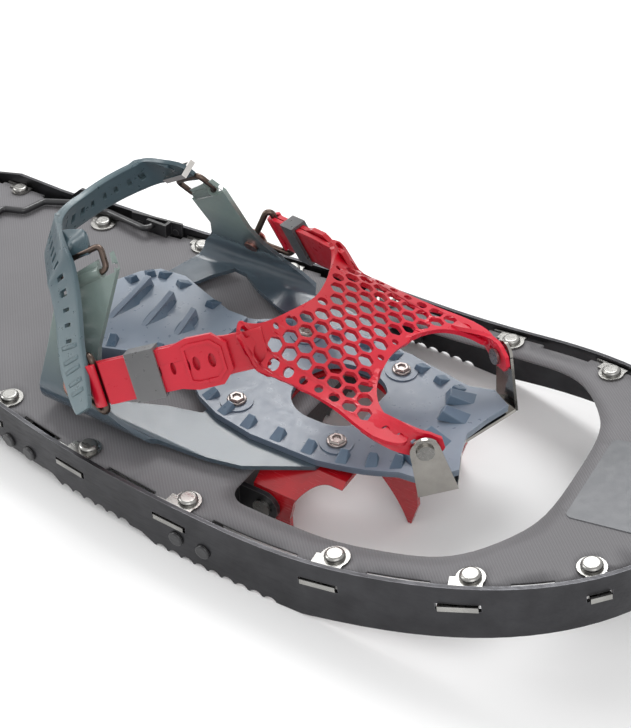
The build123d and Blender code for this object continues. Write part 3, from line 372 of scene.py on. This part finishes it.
def bend_through(a, b, c, d, f):
    """A point between b and c on the smooth line through four points."""
    return 0.5 * (2 * b + (c - a) * f + (2 * a - 5 * b + 4 * c - d) * f**2
                  + (3 * b - a - 3 * c + d) * f**3)


def catmull(points, count):
    """Points along a smooth line through the given ones, evenly spread in parameter."""
    points = [Vector(p) for p in points]
    padded = [2 * points[0] - points[1], *points, 2 * points[-1] - points[-2]]
    result = []
    for n in range(count):
        t = n / (count - 1) * (len(points) - 1)
        i = min(int(t), len(points) - 2)
        result.append(bend_through(*padded[i:i + 4], t - i))
    return result


def smooth_closed(points, count):
    """Points along a smooth closed line in plan."""
    points = [Vector((x, y, 0)) for x, y in points]
    total = len(points)
    result = []
    for n in range(count):
        t = n / count * total
        near = [points[(int(t) + k - 1) % total] for k in range(4)]
        point = bend_through(*near, t - int(t))
        result.append((point.x, point.y))
    return result


def running_lengths(middles):
    """Distance along a line to each of its points."""
    lengths = [0.0]
    for a, b in zip(middles, middles[1:]):
        lengths.append(lengths[-1] + (b - a).length)
    return lengths


def ribbon_frames(middles, acrosses):
    """(middle, along, across, out) at each point of a ribbon."""
    frames = []
    for n, middle in enumerate(middles):
        ahead = middles[min(n + 1, len(middles) - 1)] - middles[max(n - 1, 0)]
        ahead.normalize()
        across = (acrosses[n] - ahead * acrosses[n].dot(ahead)).normalized()
        frames.append((middle, ahead, across, ahead.cross(across)))
    return frames


RIBBON_ROWS = 9


def ribbon(name, middles, acrosses, widths, thickness, material, slot, holes=None):
    """A strap along a line, with a row of holes: (start, end, step, half length, half width)."""
    lengths = running_lengths(middles)
    vertices = []
    for (middle, _, across, _), width in zip(ribbon_frames(middles, acrosses), widths):
        for r in range(RIBBON_ROWS):
            vertices.append(middle + across * ((r / (RIBBON_ROWS - 1) - 0.5) * width))
    faces = []
    for face in strips(len(middles), RIBBON_ROWS):
        n, r = divmod(face[0], RIBBON_ROWS)
        centre = (lengths[n] + lengths[n + 1]) / 2
        aside = ((r + 0.5) / (RIBBON_ROWS - 1) - 0.5) * widths[n]
        if holes is None or not in_hole(centre, aside, *holes):
            faces.append(face)
    piece = mesh_object(name, vertices, faces, material)
    solidify(piece, thickness)
    soften(piece)
    return piece


def in_hole(centre, aside, start, end, step, half_length, half_width):
    """Whether a spot on a strap lies in one of its row of holes."""
    nearest = round((centre - start) / step) * step + start
    return start <= centre <= end and abs(aside) < half_width and abs(centre - nearest) < half_length


# ---- instep panel: a honeycomb net draped from the side straps to the toe arms -----------
NET_SIDES = [(98, 92.5), (103, 90.5), (108, 83.5), (113.5, 76.5), (119, 75.2), (125, 75), (155, 71.5),
             (163, 70), (176, 68), (190, 66)]    # x and z of the net's side edges
NET_HALF_WIDTH = 45.0


def side_height(x):
    """Height of the net's side edges at x."""
    for (x1, z1), (x2, z2) in zip(NET_SIDES, NET_SIDES[1:]):
        if x <= x2:
            return z1 + (z2 - z1) * max(0.0, x - x1) / (x2 - x1)
    return NET_SIDES[-1][1]


def panel_height(x, y):
    """Height of the net: sagging towards the toe, rolling over at its sides into the straps."""
    if x < 112:
        crest = 90.5 + (112 - x) * 0.45
    elif x < 160:
        t = (x - 112) / 48
        crest = 90.5 - 18.5 * t + 1.8 * t * (1 - t)
    else:
        crest = 73.8 - (x - 160) * 0.19
    roll = 3.0 - 0.8 * max(0.0, min(1.0, (x - 125) / 25))
    return crest - (crest - side_height(x)) * (abs(y) / NET_HALF_WIDTH) ** roll


NET_EDGE = [        # half outline in plan, from the middle of the rear edge round to the front
    (116, 0), (114.5, 10), (111.5, 20), (108, 29), (104, 36), (100, 39.5),
    (103, 44.5), (110, 45.5), (124, 45.2), (140, 44.5), (155, 45.5), (168, 48), (176, 48.8),
    (184, 47.6), (189, 44), (187.5, 38), (181, 37.5), (174, 35.5), (168, 31), (163.5, 24),
    (160, 14), (158, 0),
]
NET_THICKNESS = 2.4
CELL = 7.9                     # from the middle of one hole to the next
CELL_RADIUS = CELL * 0.577 - 1.05
BORDER = 1.3                   # least rim between a hexagon and the net's edge


def net_cells():
    """Centres of the honeycomb."""
    cells = []
    for column in range(-6, 7):
        for row in range(-2, 12):
            cells.append((112 + row * CELL + (CELL / 2 if column % 2 else 0), column * CELL * 0.866))
    return cells


def inside(point, polygon):
    """Whether a point lies in a polygon."""
    x, y = point
    hit = False
    for (x1, y1), (x2, y2) in zip(polygon, polygon[1:] + polygon[:1]):
        if (y1 > y) != (y2 > y) and x < (x2 - x1) * (y - y1) / (y2 - y1) + x1:
            hit = not hit
    return hit


def edge_distance(point, polygon):
    """Distance from a point to a polygon's nearest edge."""
    best = math.inf
    point = Vector(point)
    for a, b in zip(polygon, polygon[1:] + polygon[:1]):
        a, b = Vector(a), Vector(b)
        t = max(0.0, min(1.0, (point - a).dot(b - a) / max((b - a).length_squared, 1e-9)))
        best = min(best, (a + (b - a) * t - point).length)
    return best


def perforated(name, outline, holes, place, thickness, longest=4.0):
    """A harness sheet cut to a flat outline with holes, laid on a surface by place(x, y)."""
    curve = bpy.data.curves.new(name + "_plan", "CURVE")
    curve.dimensions = "2D"
    curve.fill_mode = "BOTH"
    for loop in [outline, *holes]:
        spline = curve.splines.new("POLY")
        spline.points.add(len(loop) - 1)
        spline.use_cyclic_u = True
        for point, (x, y) in zip(spline.points, loop):
            point.co = (x * MM, y * MM, 0, 1)
    flat = bpy.data.objects.new(name + "_flat", curve)
    bpy.context.scene.collection.objects.link(flat)
    bpy.context.view_layer.update()
    mesh = bpy.data.meshes.new_from_object(flat)
    bpy.data.objects.remove(flat)
    mesh.name = name
    work = bmesh.new()
    work.from_mesh(mesh)
    bmesh.ops.remove_doubles(work, verts=work.verts, dist=0.02 * MM)
    refine(work, longest * MM, 3)
    for vertex in work.verts:
        vertex.co = place(vertex.co.x / MM, vertex.co.y / MM) * MM
    work.to_mesh(mesh)
    work.free()
    piece = new_object(name, mesh, HARNESS)
    solidify(piece, thickness)
    soften(piece, 0.35 * MM, 60)
    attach(piece, "binding")
    return piece


def hexagon(x, y, radius):
    """Corners lightly rounded; flat sides face the six neighbours."""
    points = []
    for corner in range(6):
        for turn in (-7, 7):
            angle = math.radians(30 + 60 * corner + turn)
            points.append((x + radius * math.cos(angle), y + radius * math.sin(angle)))
    return points


def oval(x, along, across, y=0.0, count=18):
    """An oval with its half sizes along and across a strap."""
    turns = [2 * math.pi * k / count for k in range(count)]
    return [(x + along * math.cos(turn), y + across * math.sin(turn)) for turn in turns]


def on_ribbon(middles, acrosses):
    """Lays (distance along, distance across) on a ribbon."""
    stations = ribbon_frames(middles, acrosses)
    lengths = running_lengths(middles)

    def place(x, y):
        n = 0
        while n < len(lengths) - 2 and lengths[n + 1] < x:
            n += 1
        part = (x - lengths[n]) / max(lengths[n + 1] - lengths[n], 1e-6)
        middle = stations[n][0].lerp(stations[n + 1][0], part)
        across = stations[n][2].lerp(stations[n + 1][2], max(0.0, min(1.0, part)))
        return middle + across.normalized() * y

    return place, lengths[-1]


def build_net():
    """The net as one curved sheet: hexagons, and round holes where there is less room."""
    outline = smooth_closed(NET_EDGE + [(x, -y) for x, y in reversed(NET_EDGE) if y], 200)
    holes = []
    for x, y in net_cells():
        room = edge_distance((x, y), outline)
        if not inside((x, y), outline) or room < 2.6:
            continue
        if room >= CELL_RADIUS + BORDER:
            holes.append(hexagon(x, y, CELL_RADIUS))
        elif room > 2.7:
            holes.append(oval(x, room - 1.5, room - 1.5, y))
    return perforated("instep_net", outline, holes, lambda x, y: Vector((x, y, panel_height(x, y))),
                      NET_THICKNESS)


net = build_net()

# ---- side straps and toe arms of the harness ---------------------------------------------
FOLD = Vector((47.2, 77.8, 60.8))             # where the left strap turns round its wire loop
FOLD_UP = Vector((-8.9, -3.6, 18.8)).normalized()
NECK = Vector((109.2, 41.9, 83.1))
STRAP_THICKNESS = 2.3
STRAP_WIDTH, NECK_WIDTH = 20.5, 18.0
STRAP_HALF = 10.2
TURN_OUT = 3.0                 # half height and reach of the turn round the wire loop
TURN_BACK = 3.6
ARM_THICKNESS = 2.0
ARM_ROUTE = [
    (170, 42.6, 69.6), (181, 42.4, 67.6), (190, 40.4, 65.6), (197.5, 36.4, 63.6), (204, 31.8, 62.6),
]
ARM_STATIONS = 30
ARM_EDGE = [
    (0, 6.3), (14, 6.6), (28, 6.4), (34, 4.6), (36, 0),
    (34, -4.6), (28, -6.4), (14, -6.6), (0, -6.3),
]


def sided(point, side):
    """A point of the left side, or its mirror image."""
    return Vector((point[0], point[1] * side, point[2]))


def mirrored_strap(half):
    """A strap's outline from its upper edge, round its end and back along its lower edge."""
    return half + [(x, -y) for x, y in reversed(half)]


def side_strap(side, side_name):
    """Strap from the net round its wire loop, and the outer layer that ends in a tab."""
    fold, up, neck = sided(FOLD, side), sided(FOLD_UP, side), sided(NECK, side)
    along = (neck - fold).normalized()
    out = along.cross(up).normalized() * -side
    if out.y * side < 0:
        out = -out
    lower = catmull([fold - out * 1.6, fold + along * 22 - out * 1.5, fold + along * 50 - out * 1.4,
                     neck - along * 6 - out * 1.2, neck + along * 6 - out * 1.5], 46)
    turn = [fold - out * TURN_OUT * math.cos(angle) - along * TURN_BACK * math.sin(angle)
            for angle in (math.pi * k / 10 for k in range(11))]
    upper = catmull([fold + out * TURN_OUT, fold + along * 5 + out * 1.5,
                     fold + along * 40 + out * 1.45, neck - along * 12 + out * 1.5], 40)
    path = lower[::-1] + turn + upper[1:8]
    widths = []
    for point in path:
        narrowing = max(0.0, min(1.0, ((point - fold).dot(along) - 52) / 12))
        widths.append(STRAP_WIDTH - (STRAP_WIDTH - NECK_WIDTH) * narrowing)
    ribbon(f"side_strap_{side_name}", path, [up] * len(path), widths, STRAP_THICKNESS, HARNESS,
           "harness_tpu")

    place, reach = on_ribbon(upper, [up] * len(upper))
    end = reach + 1.5
    edge = mirrored_strap([
        (4, STRAP_HALF), (end - 26, STRAP_HALF), (end - 18, 12.4), (end - 6, 12.2), (end, 6.5),
    ])
    eyes = [oval(x, 1.2, 3.0) for x in (31, 38, 45)] + [oval(end - x, 1.7, 3.4) for x in (16, 8.5)]
    perforated(f"strap_tab_{side_name}", edge, eyes, place, STRAP_THICKNESS, 5.0)
    ridge = mirrored_strap([(end - 21, 8.6), (end - 17.5, 9.9), (end - 7, 9.7), (end - 2.6, 5.6)])
    inner_ridge = [(x * 0.86 + (end - 12) * 0.14, y * 0.84) for x, y in ridge]
    raised, _ = on_ribbon([point + out * 1.5 for point in upper], [up] * len(upper))
    perforated(f"tab_border_{side_name}", ridge, [inner_ridge], raised, 1.1, 5.0)


def toe_arm(side, side_name):
    """Arm from the net's front corner, turning upright at the bracket plate."""
    route = catmull([sided(point, side) for point in ARM_ROUTE], ARM_STATIONS)
    level, upright = Vector((0, side, -0.25)), Vector((0, side * 0.12, -1))
    acrosses = [level.lerp(upright, min(1.0, k / 17)) for k in range(ARM_STATIONS)]
    place, _ = on_ribbon(route, acrosses)
    eyes = [oval(x, 1.9, 1.9) for x in (9, 16, 22.5)]
    perforated(f"toe_arm_{side_name}", ARM_EDGE, eyes, place, ARM_THICKNESS)


for side, side_name in ((1, "left"), (-1, "right")):
    side_strap(side, side_name)
    toe_arm(side, side_name)
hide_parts("toe_harness")

# ---- heel strap --------------------------------------------------------------------------
HEEL_CENTRE = Vector((14, 0, 102))
HEEL_TILT = math.radians(18)
BAND_LEAN = math.radians(35)
WING_LEAN = math.radians(121)
RING_TILT = math.radians(38)
BAND_THICKNESS = 2.2
INNER_RADIUS, OUTER_RADIUS = 43.8, 46.2
INNER_STATIONS, OUTER_STATIONS = 110, 150
FREE_END = [        # middle and cross direction, from the tip up to the band
    ((46.7, -89.5, 52.3), (0.85, -0.1, 0.5)),
    ((37.6, -82.0, 61.0), (0.84, -0.1, 0.5)),
    ((29.2, -74.5, 69.8), (0.83, -0.1, 0.5)),
    ((21.5, -65.5, 82.0), (0.75, 0.0, 0.62)),
    ((12.5, -57.0, 92.5), (0.5, 0.25, 0.8)),
    ((2.0, -49.0, 96.5), (0.2, 0.42, 0.86)),
]
RIB_PLACES = [8.0, 13.5, 19.0, 24.5, 30.0]


def band_station(degrees, radius):
    """Middle and cross direction of the band round the heel; its left half rises to the buckle."""
    angle = math.radians(degrees)
    rear = Vector((-math.cos(HEEL_TILT), 0, -math.sin(HEEL_TILT)))
    up = Vector((-math.sin(HEEL_TILT), 0, math.cos(HEEL_TILT)))
    radial = rear * math.cos(angle) + Vector((0, 1, 0)) * math.sin(angle)
    lift = UP * 6.0 * max(0.0, (degrees - 5) / 55)
    across = up * math.cos(BAND_LEAN) - radial * math.sin(BAND_LEAN)
    return HEEL_CENTRE + radial * radius + lift, across


def ring_top(side):
    """Middle, run and rise of a heel ring's upper bar."""
    low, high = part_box("heel_ring_left" if side > 0 else "heel_ring_right")
    up_slope = Vector((0, side * math.cos(WING_LEAN), math.sin(WING_LEAN)))
    along = Vector((1, 0, 0)) * math.cos(RING_TILT) + up_slope * math.sin(RING_TILT)
    rise = up_slope * math.cos(RING_TILT) - Vector((1, 0, 0)) * math.sin(RING_TILT)
    return (low + high) / 2 / MM + rise * 6, along, rise


def smooth_stations(stations, count):
    """Middles and cross directions along a smooth line through the stations."""
    middles = catmull([middle for middle, _ in stations], count)
    acrosses = catmull([across for _, across in stations], count)
    return middles, [across.normalized() for across in acrosses]


right_top, right_along, right_rise = ring_top(-1)
left_top, left_along, left_rise = ring_top(1)
inner_stations = [
    (right_top - right_rise * 1.0, right_along),
    (right_top + right_rise * 7, right_along),
    *[band_station(degrees, INNER_RADIUS) for degrees in range(-60, 61, 10)],
    (left_top + left_rise * 7, left_along),
    (left_top - left_rise * 1.0, left_along),
]
ribbon("heel_strap_inner", *smooth_stations(inner_stations, INNER_STATIONS),
       [12 + 8.5 * min(1.0, k / 30) for k in range(INNER_STATIONS)],
       BAND_THICKNESS, STRAP, "strap_tpu", holes=(60, 118, 7.6, 1.3, 2.2))
outer_stations = [
    *[(Vector(middle), Vector(across)) for middle, across in FREE_END],
    *[band_station(degrees, OUTER_RADIUS) for degrees in range(-35, 61, 10)],
    (left_top + left_rise * 6.2 + Vector((0, 1.2, 0.6)), left_along),
]
line, cross = smooth_stations(outer_stations, OUTER_STATIONS)
outer_widths = [10 + 10.5 * min(1.0, k / 14) ** 0.6 for k in range(OUTER_STATIONS)]
outer_strap = ribbon("heel_strap_outer", line, cross, outer_widths, BAND_THICKNESS, STRAP,
                     "strap_tpu", holes=(34, 130, 7.6, 1.3, 2.2))
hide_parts("heel_strap")


def strap_rib(name, station, half_width):
    """A low moulded rib across the strap's outer face."""
    middle, ahead, across, out = station
    face = out if out.y < 0 else -out
    vertices = []
    for k in range(9):
        u = -1 + k / 4
        rise = 1.1 + 0.55 * (1 - u * u)
        for run, height in ((-1.1, 0.9), (-0.5, rise), (0.5, rise), (1.1, 0.9)):
            vertices.append(middle + across * (u * half_width) + ahead * run + face * height)
    rib = mesh_object(name, vertices, strips(9, 4), STRAP)
    solidify(rib, 0.3)


outer_frames = ribbon_frames(line, cross)
outer_lengths = running_lengths(line)
for n, place in enumerate(RIB_PLACES):
    station = next(k for k, length in enumerate(outer_lengths) if length >= place)
    strap_rib(f"strap_rib_{n}", outer_frames[station], outer_widths[station] * 0.32)

# ---- footbed: rim teeth, toe fins, heel fins and bolt faces ------------------------------
RIM = [(-20, 14), (-14, 28), (-6, 35.5), (10, 36.5), (30, 29), (62, 28.5), (74, 37), (88, 43),
       (104, 46), (122, 46.3), (140, 45.8), (158, 43), (172, 38.5), (183, 35), (196, 36)]
RIM_STATIONS = 60
RIM_TOOTH = (8.6, 6.0, 3.7)    # length, width and height
TOE_FIN = (19.0, 9.0, 4.6)
TOE_FINS = [(186, -25, 0.5), (190, -10, 0.2), (190, 10, -0.2), (186, 25, -0.5)]     # x, y, turn
HEEL_FINS = [(-1.1, -15, 21), (18, -11, 16), (36.8, -8, 10)]     # x, right end, left end
HEEL_TOP, SOLE_TOP = 41.0, 37.3
HEEL_PAD_END = 50
TOE_RISE_START, TOE_RISE_RADIUS = 150, 190
ROOT = 0.4                     # how far a tooth is rooted in the sole
FIN_FOOT = 40.7
FIN_RISE = 7.2
BOLT_TOP = 39.5
BOLTS = [(91.5, 31.5), (91.5, -31.5), (147.9, 31.5), (147.9, -31.5)]
BOLT_RINGS = [(4.5, -0.6), (4.3, 0.5), (3.5, 1.2), (2.2, 1.2), (1.9, 0.2)]     # radius and height


def sole_height(x):
    """Height of the footbed's top face at x."""
    if x < HEEL_PAD_END:
        return HEEL_TOP
    if x < TOE_RISE_START:
        return SOLE_TOP
    rise = TOE_RISE_RADIUS - math.sqrt(TOE_RISE_RADIUS**2 - (x - TOE_RISE_START) ** 2)
    return SOLE_TOP + rise


def tooth(name, x, y, direction, size):
    """A raked tooth moulded on the sole: a low wedge with a sharp crest."""
    length, width, height = size
    ahead = Vector((direction[0], direction[1], 0)).normalized()
    across = Vector((-ahead.y, ahead.x, 0))
    centre = Vector((x, y, sole_height(x)))
    corners = [(-0.5, -0.5, -ROOT), (-0.5, 0.5, -ROOT), (0.5, 0.5, -ROOT), (0.5, -0.5, -ROOT),
               (0.38, -0.3, height), (0.38, 0.3, height)]
    vertices = [centre + ahead * length * a + across * width * b + UP * z for a, b, z in corners]
    faces = [(0, 3, 2, 1), (0, 4, 3), (1, 2, 5), (3, 4, 5, 2), (0, 1, 5, 4)]
    piece = mesh_object(name, vertices, faces, TOOTH_SHADE)
    shade(piece, False)
    soften(piece, 0.5 * MM)


def bolt_face(name, x, y):
    """Hexagonal face with a recess on a binding bolt."""
    turns = [math.radians(60 * k + 12) for k in range(6)]
    vertices = [(x + radius * math.cos(turn), y + radius * math.sin(turn), BOLT_TOP + height)
                for radius, height in BOLT_RINGS for turn in turns]
    last = 6 * (len(BOLT_RINGS) - 1)
    faces = [(6 * r + k, 6 * r + (k + 1) % 6, 6 * r + 6 + (k + 1) % 6, 6 * r + 6 + k)
             for r in range(len(BOLT_RINGS) - 1) for k in range(6)]
    faces += [tuple(range(last, last + 6)), (5, 4, 3, 2, 1, 0)]
    piece = mesh_object(name, vertices, faces, BOLT)
    shade(piece, False)
    soften(piece, 0.2 * MM)


def heel_fin(name, x, right, left):
    """A fin across the heel pad that rises to the left and drops steeply at its end."""
    vertices = []
    for k in range(13):
        t = k / 12
        y = right + (left - right) * t
        drop = 1 if t < 0.93 else (1 - t) / 0.07 * 0.9 + 0.1
        crest = FIN_FOOT + 0.3 + FIN_RISE * t**1.1 * drop
        spread = 1.2 + 3.2 * (1 - abs(2 * t - 1)) ** 0.6 * (0.7 if t > 0.5 else 1.0)
        section = [(-spread, FIN_FOOT), (-0.5, crest), (0.5, crest), (spread * 1.5, FIN_FOOT)]
        vertices += [(x + run, y, z) for run, z in section]
    faces = strips(13, 4) + [(0, 1, 2, 3), (48, 49, 50, 51)]
    soften(mesh_object(name, vertices, faces, TOOTH_SHADE))


for side, side_name in ((1, "left"), (-1, "right")):
    rim = catmull([(x, y * side, 0) for x, y in RIM], RIM_STATIONS)
    for n, station in enumerate(range(2, RIM_STATIONS - 2, 4)):
        ahead = (rim[station + 1] - rim[station - 1]).normalized()
        inward = Vector((ahead.y, -ahead.x, 0)) * side
        spot = rim[station] + inward * 4.0
        tooth(f"rim_tooth_{side_name}_{n}", spot.x, spot.y, inward, RIM_TOOTH)
for n, (x, y) in enumerate(BOLTS):
    bolt_face(f"bolt_hex_{n}", x, y)
for n, (x, y, turn) in enumerate(TOE_FINS):
    tooth(f"toe_fin_{n}", x, y, (-1.0, turn), TOE_FIN)
for n, fin in enumerate(HEEL_FINS):
    heel_fin(f"heel_fin_{n}", *fin)

# ---- deck: a stretched sheet of coated nylon, cut to the frame ---------------------------
DECK_THICKNESS = 1.2
DECK_SAG, DECK_RIPPLE = 0.9, 0.12
SAG_HALF_WIDTH = 62


def deck_sag(x, y):
    """How far the deck hangs below its clips, in millimetres; only the tail part sags."""
    middle = max(0.0, 1 - (y / SAG_HALF_WIDTH) ** 2)
    tail = max(0.0, min(1.0, (-20 - x) / 90)) * max(0.0, min(1.0, (x + 285) / 60))
    return middle * tail * (DECK_SAG + DECK_RIPPLE * math.sin(x / 13 + y / 21))


work = bmesh.new()
work.from_mesh(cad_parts["deck"].data)
bmesh.ops.delete(work, geom=[f for f in work.faces if f.normal.z < 0.8], context="FACES")
bmesh.ops.remove_doubles(work, verts=work.verts, dist=0.01 * MM)
refine(work, 12 * MM, 5)
for vertex in work.verts:
    vertex.co.z -= deck_sag(vertex.co.x / MM, vertex.co.y / MM) * MM
deck_mesh = bpy.data.meshes.new("deck_sheet")
work.to_mesh(deck_mesh)
work.free()
deck_sheet = new_object("deck_sheet", deck_mesh, CLOTH)
shade(deck_sheet, True)
solidify(deck_sheet, DECK_THICKNESS, -1.0)
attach(deck_sheet, "frame")
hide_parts("deck")

# ---- floor, light and camera -------------------------------------------------------------
FLOOR_HALF = 6.0
floor_look, _, _, floor_shader = new_material("pale_floor")
floor_shader.inputs["Base Color"].default_value = (*grey(0.93), 1)
floor_shader.inputs["Roughness"].default_value = 0.8
floor_mesh = bpy.data.meshes.new("floor")
floor_corners = [(x * FLOOR_HALF, y * FLOOR_HALF, 0)
                 for x, y in ((-1, -1), (1, -1), (1, 1), (-1, 1))]
floor_mesh.from_pydata(floor_corners, [], [(0, 1, 2, 3)])
floor = new_object("floor", floor_mesh, floor_look)

world = bpy.data.worlds.new("studio")
bpy.context.scene.world = world
world.use_nodes = True
background = world.node_tree.nodes["Background"]
background.inputs["Color"].default_value = (1, 1, 1, 1)
background.inputs["Strength"].default_value = 0.8
bpy.context.scene.view_settings.view_transform = "Standard"
MIDDLE = Vector((0.08, 0.0, 0.04))


def area_light(name, place, size, power):
    """A round soft light that faces the object."""
    light = bpy.data.lights.new(name, "AREA")
    light.shape = "DISK"
    light.size = size
    light.energy = power
    lamp = bpy.data.objects.new(name, light)
    lamp.location = place
    lamp.rotation_mode = "QUATERNION"
    lamp.rotation_quaternion = (MIDDLE - Vector(place)).to_track_quat("-Z", "Y")
    bpy.context.scene.collection.objects.link(lamp)


area_light("key", (-0.5, 0.9, 1.3), 0.9, 14)
area_light("fill", (0.9, -0.9, 1.1), 1.2, 6)
area_light("rim", (-1.1, -0.3, 0.8), 0.6, 5)

AZIMUTH, ELEVATION, ROLL = math.radians(31.4), math.radians(38.4), math.radians(0.6)
TARGET = Vector((0.1167, 0.0, 0.0499))
DISTANCE = 0.594
camera_data = bpy.data.cameras.new("camera")
camera_data.sensor_width = 36.0
camera_data.lens = 60.3
camera_data.clip_start = 0.01
camera_data.clip_end = 50.0
camera = bpy.data.objects.new("camera", camera_data)
bpy.context.scene.collection.objects.link(camera)
bpy.context.scene.camera = camera
back = Vector((math.sin(AZIMUTH) * math.cos(ELEVATION), -math.cos(AZIMUTH) * math.cos(ELEVATION),
               math.sin(ELEVATION)))
level_view = (-back).to_track_quat("-Z", "Y").to_matrix().to_4x4()
camera.location = TARGET + back * DISTANCE
camera.rotation_mode = "QUATERNION"
camera.rotation_quaternion = (level_view @ Matrix.Rotation(ROLL, 4, "Z")).to_quaternion()
